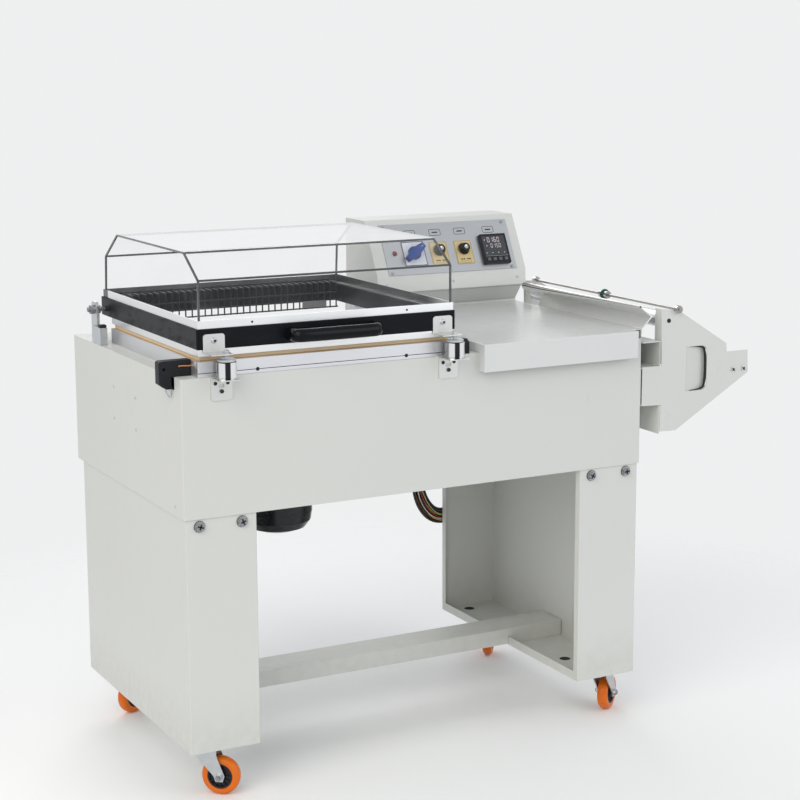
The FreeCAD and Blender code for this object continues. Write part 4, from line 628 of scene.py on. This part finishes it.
# Holding magnets: chromed steel cores on shelf brackets that are screwed to the cabinet's front; a
# bolt through the shelf clamps each core, and the lid's armature discs come down onto them.
def chrome_finish():
    """Polished chrome, with painted reflection: dark bands by which way the surface faces, for a room's far side.
    """
    finish = Finish("magnet_chrome")
    smear = finish.noise(60, 4)
    # painted reflection: dark bands across the chrome, set by the surface's facing along X
    across = finish.normal("X")
    band = finish.ramp(across, -0.52, -0.44) * (1 - finish.ramp(across, -0.02, 0.07))
    far = (1 - finish.ramp(across, -0.95, -0.88)) * 0.6
    painted_dark_reflection = finish.math("MAXIMUM", band, far)
    return finish.surface(finish.mixed(painted_dark_reflection, (0.84, 0.84, 0.85), (0.03, 0.03, 0.035)), smear * 0.12 + 0.05, 1.0,
                          height=finish.noise(150, 2), rise=0.00005, strength=0.2)


chrome = chrome_finish()
dressed("magnet_shelves", "magnet_shelf_plates", 0.0004, bright_zinc)
dressed("lid_brackets", "lid_bracket_plates", 0.0004, bright_zinc, "lid")
magnets_x = (78, 548)
core_outline = [(0, 30.8), (6.6, 30.8), (6.9, 30.2), (14.4, 30.2), (14.7, 31), (18.2, 31), (19, 30.2), (19, 3.6),
                (18.2, 3.1), (18.2, 2), (18.9, 1.6), (18.9, 0.2), (0, 0.2)]
settle(scattered("magnet_cores", core_outline, 64, in_row(-26, 811, *magnets_x)), "root", chrome, ["magnets"])
armatures = [scattered("part", outline, steps, in_row(-26, height, *magnets_x)) for height, steps, outline in (
    (842.3, 64, [(0, 0), (16.2, 0), (17, 0.8), (17, 4.2), (16.2, 5), (0, 5)]),
    (842.3, 20, [(3, 0), (3, 21), (2.2, 21.7), (0, 21.7)]),
    (852, 6, [(3, 0), (5.5, 0), (6.3, 0.7), (6.3, 3.4), (5.5, 4), (3, 4)]),
    (858, 6, [(3, 0), (8.2, 0), (8.2, 1), (6.3, 1.2), (6.3, 4.4), (5.5, 5), (3, 5)]))]
settle(fused("armature_discs_and_bolts", armatures), "lid", zinc, ["armature_discs"])
# the shelf screws and the clamp bolts' hexagons are dark all over: their own dark heads together with painted shade
# in their recesses
shelf_screws = scattered("screws", screw_outline, 20, in_row(-2, 799, 66, 90, 536, 560), toward_front)
hexagons = scattered("hexagons", [(0, 3), (3.4, 3), (4, 2.4), (4, 0), (0, 0)], 6, in_row(-2, 784, *magnets_x),
                     toward_front)
settle(fused("magnet_shelf_screws", [shelf_screws, hexagons]), "root", dark_screws_and_recess_shade)
bracket_places = in_row(-2, 878, 65, 535)
washers = scattered("washers", [(0, 1), (5.8, 1), (6.2, 0.5), (6.2, 0), (0, 0)], 32, bracket_places, toward_front)
heads = scattered("heads", [(0, 3.6), (3, 3.5), (4.4, 2.6), (4.7, 1), (0, 1)], 24, bracket_places, toward_front)
settle(fused("lid_bracket_bolts", [washers, heads]), "lid", zinc)
# dark hexagons in the bracket bolts' heads are painted shade in their recesses
settle(scattered("lid_bracket_recess_shade", [(0, 3.8), (2.7, 3.8), (2.7, 3), (0, 3)], 6,
                 in_row(-2, 878, 65.8, 535.8), toward_front), "lid", dark_screws_and_recess_shade)


# Lid frame: welded square tube in satin black, a little dusty and rubbed bright at its corners, with
# an aluminium angle screwed round its top and an aluminium rail with a silicone strip below.
frame_black = black_paint("frame_satin_black", 0.34, 0.1, sheen=0.12)
dressed("lid_frame", "lid_frame_tubes", 0.0012, frame_black, "lid", 3)
angle_aluminium = brushed("lid_angle_aluminium", (0.83, 0.835, 0.84), (1.2, 18, 18), 0.34)


def inner_darkened_finish(right, back):
    """The lid's aluminium angle: bright outside and in front, darker on its inner sides along the right and the
    back.
    """
    finish = Finish("lid_angle_darker_inside")

    def inner(way, edge):
        """1 on the last centimetres before an outer face, and 0 on that face."""
        return finish.ramp(way, edge - 0.03, edge - 0.027) * (1 - finish.ramp(way, edge - 0.0011, edge - 0.0008))

    y = finish.axis("Y")
    aside = inner(finish.axis("X"), right) * finish.ramp(y, at(0, 22, 0).y, at(0, 120, 0).y)
    stroke = finish.noise(60, 3, (18, 18, 18))
    tone = finish.mixed(stroke, (0.71, 0.72, 0.73), (0.88, 0.89, 0.9))
    inner_dark = finish.math("MAXIMUM", aside, inner(y, back)) * (finish.noise(14, 3) * 0.2 + 0.8)
    return finish.surface(finish.mixed(inner_dark, tone, (0.06, 0.058, 0.06)), stroke * 0.18 + 0.26, 1.0,
                          height=stroke, rise=0.00008, strength=0.4)


reach = [max(v.co[k] for v in nodes["lid_angle"].data.vertices) for k in (0, 1)]
dressed("lid_angle", "lid_angle_ring", 0.0005, inner_darkened_finish(*reach), "lid")
dressed("lid_rail", "lid_rail_bar", 0.0008, angle_aluminium, "lid")


def silicone_finish():
    finish = Finish("silicone_strip_tan")
    cloud = finish.noise(30, 3)
    return finish.surface(finish.mixed(cloud, (0.62, 0.46, 0.28), (0.72, 0.57, 0.38)), cloud * 0.2 + 0.45,
                          height=finish.noise(1500, 2), rise=0.0001, strength=0.4, Subsurface_Weight=0.05,
                          Subsurface_Radius=(0.003, 0.002, 0.001))


dressed("lid_seal", "lid_silicone_strip", 0.0009, silicone_finish(), "lid", 3)
angle_places = [at(x, y, 901) for x, y in ((150, 13), (300, 13), (450, 13), (46, 140), (46, 330), (551, 140),
                                           (551, 330), (150, 508), (450, 508))]
angle_screw = [(0, 0.5), (1.1, 0.6), (1.4, 1.3), (2.4, 1.1), (3.1, 0.4), (3.3, 0), (0, 0)]
settle(scattered("lid_angle_screws", angle_screw, 16, angle_places), "lid", dark_zinc)
# the flange screws are dark all over: their own dark heads together with painted shade in their slots
settle(scattered("lid_flange_screws", [(0, 0.9), (1.7, 0.8), (2.1, 0.3), (2.1, 0), (0, 0)], 20,
                 in_row(3, 906, 142, 460), toward_front), "lid", dark_screws_and_recess_shade)


# Handle: glossy black moulded bow with feet that flare onto the frame, screwed on from behind.
# It is made from one bar bent round at both ends and swollen towards the middle of the grip.
def handle_shape():
    half = [(-85, 0, 1), (-85, -12, 0.98), (-84.4, -25, 0.98), (-79, -32, 1), (-65, -33, 1)]
    whole = [*half, (0, -33, 1.02), *((-x, y, swell) for x, y, swell in reversed(half))]
    bow = drawn_curve("lid_handle_bow", [at(300 + x, y, 0) for x, y, swell in whole], 0.0098)
    bow.data.bevel_resolution = 8
    bow = meshed(bow, [swell for x, y, swell in whole])
    grip_height, taller = 0.879, 1.28
    for v in bow.data.vertices:
        v.co.z = grip_height + v.co.z * taller
    return bow


handle_gloss = black_paint("handle_gloss_black", 0.14, 0.0, 0.02, 0.14)
settle(handle_shape(), "lid", handle_gloss, ["lid_handle"])


# Rear guard: bent steel wires welded across four longer ones, coated black, that keep the goods off
# the fan's air outlet; a small steel plate is clipped to the upright wires.
smooth(nodes["rear_guard"], 40)
coat(nodes["rear_guard"], black_paint("guard_black_coating", 0.35, 0.3))
settle(block("guard_clip_plate", at(452, 460, 853), at(508, 461.2, 867), 0.0004), "lid", dark_zinc)


# Hood: clear acrylic sheets cemented along their edges. The cement lines and sawn edges are dark strips, the
# cement's own dark and painted shade for the dark that refraction gives the edges; the faces carry faint dust
# and a painted sheen, a white veil that thickens towards grazing angles.
def acrylic_finish():
    finish = Finish("hood_clear_acrylic")
    dust = finish.ramp(finish.noise(9, 4), 0.4, 0.75)
    facing = finish.node("ShaderNodeLayerWeight", {}, {"Blend": 0.5}, "Facing")
    inside = finish.node("ShaderNodeNewGeometry", {}, {}, "Backfacing")
    # painted sheen: a white veil by facing, thicker at grazing angles, plus faint dust
    clear = (1 - inside) * (finish.ramp(facing, 0.68, 0.9) * 0.78 + dust * 0.05 + 0.03)
    return finish.surface((0.93, 0.95, 0.965), dust * 0.05 + 0.02, 0.0, Alpha=clear, IOR=1.49,
                          Specular_IOR_Level=0.6)


# dark edge strips: the cement's own dark, and painted shade for the dark that refraction gives acrylic edges
def edge_finish():
    finish = Finish("hood_edge_cement_and_shade")
    broken = finish.noise(90, 3)
    return finish.surface(finish.mixed(broken, (0.02, 0.022, 0.026), (0.07, 0.075, 0.08)), broken * 0.2 + 0.12,
                          Coat_Weight=0.4)


dressed("hood", "hood_clear_sheets", 0.0019, acrylic_finish(), "lid", 1)
side_outline = ((5.3, 901), (5.3, 984), (72, 1032), (437, 1032), (509.7, 979), (515.7, 901))
left, right = ([at(x, y, z) for y, z in side_outline] for x in (38.3, 558.7))
middle = (left[2] + right[4]) / 2
inset, half_wide = 0.0021, 0.0019
strips = []
for ends in (*zip(left, left[1:]), *zip(right, right[1:]), *zip(left[1:5], right[1:5])):
    start, stop = (Vector(p[i] + inset * (1 if p[i] < middle[i] else -1) for i in range(3)) for p in ends)
    strip = block("strip", (-half_wide, -half_wide, 0), (half_wide, half_wide, (stop - start).length), 0.0005, 1)
    strips.append(move_to(strip, start, (stop - start).to_track_quat("Z", "Y").to_matrix().to_4x4()))
settle(fused("hood_edges_cement_and_shade", strips), "lid", edge_finish())


# Worktable: folded steel sheet with a deep lip over the front panel, powder coated like the cabinet;
# its top is polished by the film that slides over it.
table_polished = powder_coat("table_polished_coat", (0.7, 0.705, 0.7), floor_dust=False, roughness=0.12, sheen=0.6)
dressed("worktable", "worktable_sheet", 0.0009, table_polished, segments=3)


# Film guide: polished stainless sheet folded into a V that opens towards the back, its upper edge
# rolled into a rim that grows from a bead at the front to a wide roll at the back.
def guide_finish():
    """Stainless sheet, soft on its leaves; on the polished rim, dark and brown streaks by which way the surface
    faces are painted reflection.
    """
    finish = Finish("guide_polished_stainless")
    # the rim's centre line and half its width, from the front (share 0) to the back (share 1)
    share = (finish.axis("Y") - at(0, 0, 0).y) * 2.5
    aside = finish.axis("X") - at(996, 0, 0).x + share * 0.032
    lift = finish.axis("Z") - share * 0.001 - 0.8755
    reach = share * 0.006 + 0.0028
    rim = finish.math("GREATER_THAN", reach * reach, aside * aside + lift * lift)
    # painted reflection: dark and brown streaks on the rim, by which way its surface faces
    level = finish.normal("Z") + (finish.noise(7, 2, (0.4, 1, 0.4)) - 0.5) * 0.6
    painted_dark_reflection = finish.ramp(level, -0.05, 0.05) * (1 - finish.ramp(level, 0.24, 0.34)) * rim
    painted_brown_reflection = finish.ramp(level, 0.45, 0.6) * (1 - finish.ramp(level, 0.8, 0.95)) * rim
    stroke = finish.noise(60, 3, (5, 0.8, 5))
    tone = finish.mixed(stroke, (0.66, 0.665, 0.655), (0.76, 0.765, 0.755))
    tone = finish.mixed(painted_brown_reflection * 0.7, tone, (0.3, 0.25, 0.2))
    return finish.surface(finish.mixed(painted_dark_reflection, tone, (0.035, 0.03, 0.028)), stroke * 0.12 - rim * 0.14 + 0.3, 0.6,
                          height=stroke, rise=0.00006, strength=0.1)


smooth(nodes["film_guide"], 25)
coat(nodes["film_guide"], guide_finish())


# Film stand: two laser-cut steel plates with bent flanges, a folded channel bolted to the cabinet and
# a flat tie at the tip, all powder coated; two bolts with a cross recess hold the tie.
for node, name in (("stand_plates", "stand_plate_sheets"), ("stand_cross_members", "stand_channel_and_tie")):
    dressed(node, name, 0.0005, ivory_coat)
bolt_places = in_row(0, 727, 1235, 1262)
bolt_outline = [(0, 3.2), (3.6, 3.2), (4.4, 2.6), (4.4, 0.8), (6.4, 0.8), (6.4, 0), (0, 0)]
settle(scattered("stand_side_bolts", bolt_outline, 18, bolt_places, toward_front), "root", bright_zinc)
# dark bars in the stand bolts' cross recesses are painted shade
slots = [slot for place in bolt_places
         for slot in cross_slots(place, Matrix.Rotation(0.7, 4, "Y"), ((4.4, 1.1), (1.1, 3.6)), -3.7, -3)]
settle(fused("stand_bolt_slot_shade", slots), "root", dark_screws_and_recess_shade)
# a black strip along the grip recess's edge, widest on the right, is painted shade in the gap behind the plate
grip_gap_shade = drawn_curve("grip_gap_shade_strip", [at(x, 3.4, z) for x, z in (
    (1126, 783.6), (1154, 783.4), (1165.4, 773), (1165.4, 701), (1154, 690.6), (1126, 690.4))], 0.0026)
settle(meshed(grip_gap_shade, (0.3, 0.6, 1.1, 1.1, 0.6, 0.3)), "root", black_rubber_and_shade)


# Rollers: drawn aluminium tubes brushed round their length, with turned journals that end inside the
# side plates.
roller_steel = brushed("roller_drawn_aluminium", (0.74, 0.745, 0.75), (1, 0.5, 1), 0.28)
# the guide roller's black end cap is painted shade in its bore; the film rollers' caps are ivory like the plates
for name, x, z, radius, material in (("guide_roller", 1068, 842, 4.6, black_rubber_and_shade),
                                     ("film_roller_outer", 1200, 730, 5.45, ivory_coat),
                                     ("film_roller_inner", 1070, 640, 5.45, ivory_coat)):
    smooth(nodes[name], 30)
    coat(nodes[name], roller_steel)
    cap = turned(f"{name}_end", [(0, 0.35), (radius, 0.35), (radius, 0), (0, 0)], 32, "Y")
    settle(move_to(cap, at(x, 0.4, z)), f"{name}_body", material)


# Punch rod: a steel rod in notches of the side plates, with chromed end collars, and a small dark green
# wheel with steel pins that pricks vent holes in the film.
coat(nodes["punch_rod"], zinc_finish("punch_rod_steel", (0.42, 0.405, 0.39), 0.2, 0.35))
collar_outline = [(3.2, 0), (8.1, 0), (8.3, 0.3), (8.3, 8.4), (8.1, 8.7), (3.2, 8.7), (3.2, 0)]
collar_places = [at(1087, y, 865) for y in (-0.1, 555.7)]
settle(scattered("punch_rod_collars", collar_outline, 40, collar_places, toward_front), "root", chrome)
green_plastic = plain_plastic("pin_wheel_green", (0.006, 0.075, 0.05), 0.35, 0.3)
pin_hub = turned("pin_wheel_hub", [(3.2, -4), (8.6, -4), (9.4, -3.4), (9.9, -1.6), (11.2, -1.5), (11.2, 1.5),
                                   (9.9, 1.6), (9.4, 3.4), (8.6, 4), (3.2, 4), (3.2, -4)], 48, "Y")
pin_wheel_place = at(1087, 267, 865)
settle(move_to(pin_hub, pin_wheel_place), "pin_wheel_body", green_plastic, ["pin_wheel"])
pins = [move_to(turned("pin", [(0, 12.9), (0.3, 11.9), (0.45, 10.6), (0.45, 9), (0, 9)], 8), pin_wheel_place,
                Matrix.Rotation(k * math.pi / 12, 4, "Y")) for k in range(24)]
settle(fused("pin_wheel_pins", pins), "pin_wheel_body", chrome)


# Control box: a folded sheet housing with a sloping face, and on it a brushed panel plate with a
# blank rounded frame above each control; three small screws hold the housing's lower edge.
box_coat = powder_coat("table_powder_coat", (0.63, 0.635, 0.612), floor_dust=False)
dressed("control_box", "control_box_housing", 0.0012, box_coat, segments=3)
slope_angle = math.atan2(117, 61)
slope_up = Vector((0, math.cos(slope_angle), math.sin(slope_angle)))
panel = Matrix.Translation(at(657, 457, 908) + slope_up * 0.001) @ Matrix.Rotation(slope_angle, 4, "X")
panel_grey = brushed("panel_brushed_grey", (0.41, 0.42, 0.44), (0.7, 16, 16), 0.42, 0.3)
dressed("panel_plate", "panel_plate_sheet", 0.0004, panel_grey)
settle(scattered("control_box_screws", screw_outline, 20, in_row(456.2, 890, 650, 814, 978), toward_front),
       "root", painted_screw)
ink_dark = plain_plastic("printed_dark_line", (0.02, 0.022, 0.026), 0.55, 0.1)


def on_panel(piece, material, body="root"):
    """Lays a piece that is drawn in the panel's own measures on its slope, and settles it there."""
    settle(move_to(piece, turn=panel), body, material)


def printed_frame(name, x, y, wide, tall, line, height, corner):
    """A thin rounded outline printed on the panel: an inset plate whose middle is taken out."""
    deselect()
    bpy.ops.mesh.primitive_plane_add(size=1, location=mm(x, y, height))
    piece = bpy.context.object
    piece.scale = mm(wide, tall, 1000)
    bpy.ops.object.transform_apply(location=True, rotation=True, scale=True)
    bpy.ops.object.mode_set(mode="EDIT")
    bpy.ops.mesh.select_all(action="SELECT")
    bpy.ops.mesh.bevel(offset=corner / 1000, segments=4, affect="VERTICES")
    bpy.ops.mesh.select_all(action="SELECT")
    bpy.ops.mesh.inset(thickness=line / 1000)
    bpy.ops.mesh.delete(type="FACE")
    bpy.ops.mesh.select_all(action="SELECT")
    bpy.ops.mesh.extrude_region_move(TRANSFORM_OT_translate={"value": (0, 0, 0.0001)})
    bpy.ops.mesh.select_all(action="SELECT")
    bpy.ops.mesh.normals_make_consistent(inside=False)
    bpy.ops.object.mode_set(mode="OBJECT")
    piece.name = piece.data.name = name
    return piece


plate_face, dial_face, switch_face, window_face = 2.02, 3.02, 3.26, 10.16
ink, segment_thick = 0.1, 0.14
timers_x, labels_x = (134, 196), (71, 134, 196, 269)
frames = [printed_frame("frame", x, 95, 29, 15.5, 1.1, plate_face, 4) for x in labels_x]
frames += [block("bar", mm(x - 7, 93.6, plate_face), mm(x + 7, 96.4, plate_face + ink)) for x in labels_x]
on_panel(fused("panel_label_frames", frames), ink_dark)


# Power lamp: a faceted lens of clear red plastic over a small bulb, held from behind through a hole in
# the panel plate by a thin chromed ring.
def lens_finish():
    finish = Finish("lamp_red_lens")
    return finish.surface(finish.mixed(finish.noise(300, 2), (0.16, 0.004, 0.008), (0.26, 0.01, 0.014)), 0.12,
                          Coat_Weight=0.15, Subsurface_Weight=0.2, Subsurface_Radius=(0.002, 0.0005, 0.0005))


lens = turned("power_lamp_lens", [(0, 9), (2, 8.8), (3.6, 7.6), (4.6, 5.6), (4.9, 3.4), (4.9, 2.2), (0, 2.2)], 12)
lamp_place = panel @ Matrix.Translation(mm(24, 50, 0))
settle(move_to(lens, turn=lamp_place), "root", lens_finish(), ["power_lamp"])
ring = turned("power_lamp_ring", [(4.9, 2), (6, 2), (6, 3.4), (5.6, 4), (4.9, 4), (4.9, 2)], 40)
settle(move_to(ring, turn=lamp_place), "root", chrome)


# Rotary switch: a white plate with a blue border and a bare scale, and a blue moulded knob with a
# long pointer handle across it; the two timers have gilt dial plates with fine ticks.
def dial_finish(name, color, roughness, metallic):
    finish = Finish(name)
    brush = finish.noise(120, 3, (1, 12, 12))
    return finish.surface(finish.mixed(brush, tuple(c * 0.88 for c in color), color), brush * 0.15 + roughness,
                          metallic, height=brush, rise=0.00004, strength=0.3)


dial_gold = dial_finish("dial_gilt", (0.6, 0.47, 0.235), 0.34, 0.4)
dial_white = dial_finish("dial_white", (0.72, 0.74, 0.78), 0.4, 0.0)
blue_ink = plain_plastic("dial_blue_border", (0.012, 0.03, 0.15), 0.45, 0.1)
smooth(nodes["dial_plates"])
coat(nodes["dial_plates"], dial_gold)
on_panel(block("switch_plate", mm(45.4, 20.4, 3), mm(97.6, 74.6, 3.25), 0.0001, 1), dial_white)
on_panel(printed_frame("switch_plate_border", 71.5, 47.5, 54.6, 56.6, 1.8, switch_face, 0.6), blue_ink)


def ticks(name, x, y, radius, long, count, sweep, height, wide=0.35):
    """Scale marks round a dial, from lower left clockwise to lower right."""
    marks = []
    for k in range(count):
        angle = math.radians(-sweep / 2 + sweep * k / (count - 1))
        longer = 1.5 if k % 5 == 0 else 1
        mark = block("mark", mm(-wide / 2, radius, height), mm(wide / 2, radius + long * longer, height + ink))
        marks.append(move_to(mark, turn=Matrix.Translation(mm(x, y, 0)) @ Matrix.Rotation(-angle, 4, "Z")))
    on_panel(fused(name, marks), ink_dark)


ticks("timer_scale_left", 134, 52, 15.4, 1.2, 21, 270, dial_face)
ticks("timer_scale_right", 196, 52, 15.4, 1.2, 21, 270, dial_face)
ticks("switch_scale", 71, 48, 20.6, 2, 3, 90, switch_face, 0.7)
borders = [printed_frame("dial_border", x, 44.5, 41.5, 53.5, 0.5, dial_face, 1) for x in timers_x]
borders += [printed_frame("dial_box", x, 22, 25, 5, 0.4, dial_face, 0.8) for x in timers_x]
borders += [block("bar", mm(x + along, 27, dial_face), mm(x + along + 4.4, 29.6, dial_face + ink))
            for x in timers_x for along in (-12, -6, 3, 8)]
on_panel(fused("timer_plate_borders", borders), ink_dark)


def pointer_handle():
    """The knob's bar: a block tapered to both ends, waisted and rounded, on a stepped round boss."""
    bar = block("bar", mm(-27, -9.8, 4.4), mm(27, 9.8, 21.2))
    bpy.ops.object.mode_set(mode="EDIT")
    bpy.ops.mesh.select_all(action="SELECT")
    bpy.ops.mesh.subdivide(number_cuts=5)
    bpy.ops.object.mode_set(mode="OBJECT")
    for v in bar.data.vertices:
        along = abs(v.co.x) / 0.027
        v.co.y *= 1 - 0.4 * along ** 1.5
        v.co.z -= 0.0035 * along ** 2 * (v.co.z > 0.015)
    bevelled(bar, 0.0022, 4, 50)
    boss = turned("boss", [(3.9, -3), (3.9, 3.6), (14.8, 3.6), (15, 4.4), (15, 8.8), (14, 10.2), (0, 10.8)], 48)
    return fused("switch_knob_moulding", [bar, boss])


switch_blue = plain_plastic("switch_blue_plastic", (0.004, 0.04, 0.22), 0.26, 0.15)
switch_turn = panel @ Matrix.Translation(mm(71, 48, 0)) @ Matrix.Rotation(math.radians(35), 4, "Z")
knob = move_to(pointer_handle(), turn=switch_turn)
settle(knob, "switch_knob_body", switch_blue, ["switch_knob"])
line = block("switch_pointer_line", mm(15, -0.45, 18.9), mm(21, 0.45, 20.4), 0.0003, 1)
settle(move_to(line, turn=switch_turn), "switch_knob_body", dial_white)


# Timer knobs: black plastic skirts fluted round their grip, pressed on the timers' shafts, with a bright
# turned cap let into the top and a white pointer line on the foot.
knob_black = plain_plastic("timer_knob_black", (0.013, 0.013, 0.014), 0.3, 0.3)
cap_metal = brushed("timer_cap_aluminium", (0.5, 0.51, 0.53), (3, 3, 3), 0.26, 0.2)
skirt_outline = [(3.9, -3), (3.9, 3.4), (13.2, 3.4), (13.5, 4), (13.3, 5), (11, 6.8), (10.4, 8.4), (9.7, 16),
                 (8.9, 16.8), (5.9, 17), (5.9, 15)]
cap_outline = [(0, 17.2), (2.6, 17.3), (4.3, 17.9), (4.8, 17.6), (5, 16.9), (5, 15), (0, 15)]
for name, x in zip(("timer_knob_left", "timer_knob_right"), timers_x):
    place = panel @ Matrix.Translation(mm(x, 52, 0)) @ Matrix.Rotation(math.radians(25), 4, "Z")
    flutes = [move_to(block("flute", mm(9.6, -0.5, 6.8), mm(10.6, 0.5, 15.4), 0.0004),
                      turn=Matrix.Rotation(k * math.pi / 10, 4, "Z")) for k in range(20)]
    skirt = fused(f"{name}_skirt", [turned("skirt", skirt_outline, 60), *flutes])
    settle(move_to(skirt, turn=place), f"{name}_body", knob_black, [name])
    settle(move_to(turned(f"{name}_cap", cap_outline, 48), turn=place), f"{name}_body", cap_metal)
    pointer = block(f"{name}_pointer", mm(-0.45, 9, 16.1), mm(0.45, 13.1, 16.6), 0.0001, 1)
    settle(move_to(pointer, turn=place @ Matrix.Rotation(math.radians(-22), 4, "Z")), f"{name}_body", dial_white)


# Temperature controller: black moulded bezel with a smoked window, two rows of pale digits on its face,
# a small indicator each and four soft keys below.
bezel_black = plain_plastic("controller_bezel", (0.005, 0.007, 0.011), 0.45, 0.3)
dressed("temperature_controller", "controller_bezel_moulding", 0.0007, bezel_black, segments=3)


def lit_finish(name, color, glow):
    finish = Finish(name)
    flicker = finish.noise(500, 2) * 0.2 + 0.8
    return finish.surface(finish.mixed(flicker, (0.02, 0.02, 0.02), color), 0.35, Emission_Color=(*color, 1),
                          Emission_Strength=glow)


def window_finish():
    finish = Finish("controller_window")
    smear = finish.noise(90, 4)
    return finish.surface(finish.mixed(smear, (0.012, 0.014, 0.018), (0.03, 0.034, 0.042)), smear * 0.12 + 0.08,
                          Coat_Weight=0.5)


on_panel(block("controller_window_pane", mm(243.4, 30.4, 9.9), mm(300.6, 76.6, 10.15), 0.0001, 1), window_finish())
SEGMENTS = {"a": (0, 1, 0), "b": (0.5, 0.5, 1), "c": (0.5, -0.5, 1), "d": (0, -1, 0), "e": (-0.5, -0.5, 1),
            "f": (-0.5, 0.5, 1), "g": (0, 0, 0)}
DIGITS = {"0": "abcdef", "1": "bc", "5": "acdfg", "6": "acdefg"}


def digit_row(name, text, x, y, tall, color_finish):
    """Seven-segment digits, as thin bars on the window's face."""
    bars = []
    for k, digit in enumerate(text):
        for segment in DIGITS[digit]:
            dx, dy, upright = SEGMENTS[segment]
            wide = 0.46 * tall
            cx, cy = x + k * 0.78 * tall + dx * wide, y + dy * 0.5 * tall
            half = (0.06 * tall, 0.2 * tall) if upright else (0.2 * tall, 0.06 * tall)
            bars.append(block("segment", mm(cx - half[0], cy - half[1], window_face),
                              mm(cx + half[0], cy + half[1], window_face + segment_thick), 0.00005, 1))
    on_panel(fused(name, bars), color_finish)


digit_row("controller_upper_digits", "0160", 259, 67, 10.5, lit_finish("digit_pale_rose", (0.72, 0.56, 0.58), 0.16))
digit_row("controller_lower_digits", "0150", 264.5, 53, 9, lit_finish("digit_pale_white", (0.6, 0.6, 0.64), 0.08))
lamps = [block("indicator", mm(x, 35.4, window_face), mm(x + 2.8, 36.8, window_face + segment_thick), 0.0001, 1)
         for x in (247, 262, 277, 292)]
lamps += [block("lamp", mm(x, y, window_face), mm(x + 2.4, y + 2, window_face + segment_thick))
          for x, y in ((248, 66), (251, 52))]
lamps.append(block("rule", mm(243.6, 28.4, 11.02), mm(300.4, 28.8, 11.1)))
on_panel(fused("controller_indicators", lamps), dial_white)
key_grey = plain_plastic("key_soft_grey", (0.1, 0.105, 0.115), 0.5, 0.3)
level, upright = (-1.6, 1.6, -0.3, 0.3), (-0.3, 0.3, -1.6, 1.6)
for key, x, marks in (("key_set", 250.25, [level]), ("key_shift", 264.75, [level, (-1.8, -1.2, -1.1, 1.1)]),
                      ("key_down", 279.25, [upright, (-1.1, 1.1, -1.8, -1.2)]),
                      ("key_up", 293.75, [upright, (-1.1, 1.1, 1.2, 1.8)])):
    dressed(key, f"{key}_cap", 0.0006, key_grey, f"{key}_body", 3)
    printed = [block("mark", mm(x + x0, 21 + y0, 11.2), mm(x + x1, 21 + y1, 11.31)) for x0, x1, y0, y1 in marks]
    on_panel(fused(f"{key}_mark", printed), dial_white, f"{key}_body")


# Floor and light: a pale seamless floor, a large soft lamp in front and above, a weaker one on the
# right and one behind, in a plain pale room.
deselect()
bpy.ops.mesh.primitive_plane_add(size=60, location=(0, 0, 0))
floor = bpy.context.object
floor.name = "studio_floor"
floor_finish = Finish("studio_floor_pale")
soft = floor_finish.noise(0.6, 2)
across, along = floor_finish.axis("X"), floor_finish.axis("Y")
near = 1 - floor_finish.ramp(across * across + along * along, 0.5, 3.2)
pale = floor_finish.mixed(soft, (0.93, 0.93, 0.93), (0.95, 0.95, 0.95))
coat(floor, floor_finish.surface(pale, 0.75, Alpha=near))
for name, place, aim, size, power, tint in (
        ("key", (-3.4, -2.4, 3.0), (0, 0, 0.6), 3.8, 110, (1, 0.98, 0.9)),
        ("fill", (2.6, -3.6, 2.2), (0.2, 0, 0.6), 3.0, 44, (0.9, 0.96, 1)),
        ("back", (0.6, 3.2, 3.2), (0, 0, 0.8), 2.2, 42, (1, 1, 1))):
    bpy.ops.object.light_add(type="AREA", location=place)
    lamp = bpy.context.object
    lamp.name = f"studio_{name}"
    lamp.data.shape, lamp.data.size, lamp.data.energy, lamp.data.color = "SQUARE", size, power, tint
    lamp.rotation_euler = (Vector(aim) - Vector(place)).to_track_quat("-Z", "Y").to_euler()
room = Finish("studio_room", bpy.data.worlds)
seen, mirrored, passed = (room.node("ShaderNodeLightPath", {}, {}, f"Is {kind} Ray")
                          for kind in ("Camera", "Glossy", "Transmission"))
looked_at = room.math("MAXIMUM", seen, room.math("MAXIMUM", mirrored, passed))
air = room.node("ShaderNodeBackground", {}, {"Color": (0.95, 0.97, 1.0), "Strength": 0.62})
walls = room.node("ShaderNodeBackground", {}, {"Color": (0.86, 0.865, 0.87), "Strength": 1.0})
bpy.context.scene.world = room.close("ShaderNodeOutputWorld",
                                     room.node("ShaderNodeMixShader", {}, {0: looked_at, 1: air, 2: walls}))
bpy.context.scene.view_settings.view_transform = "Standard"
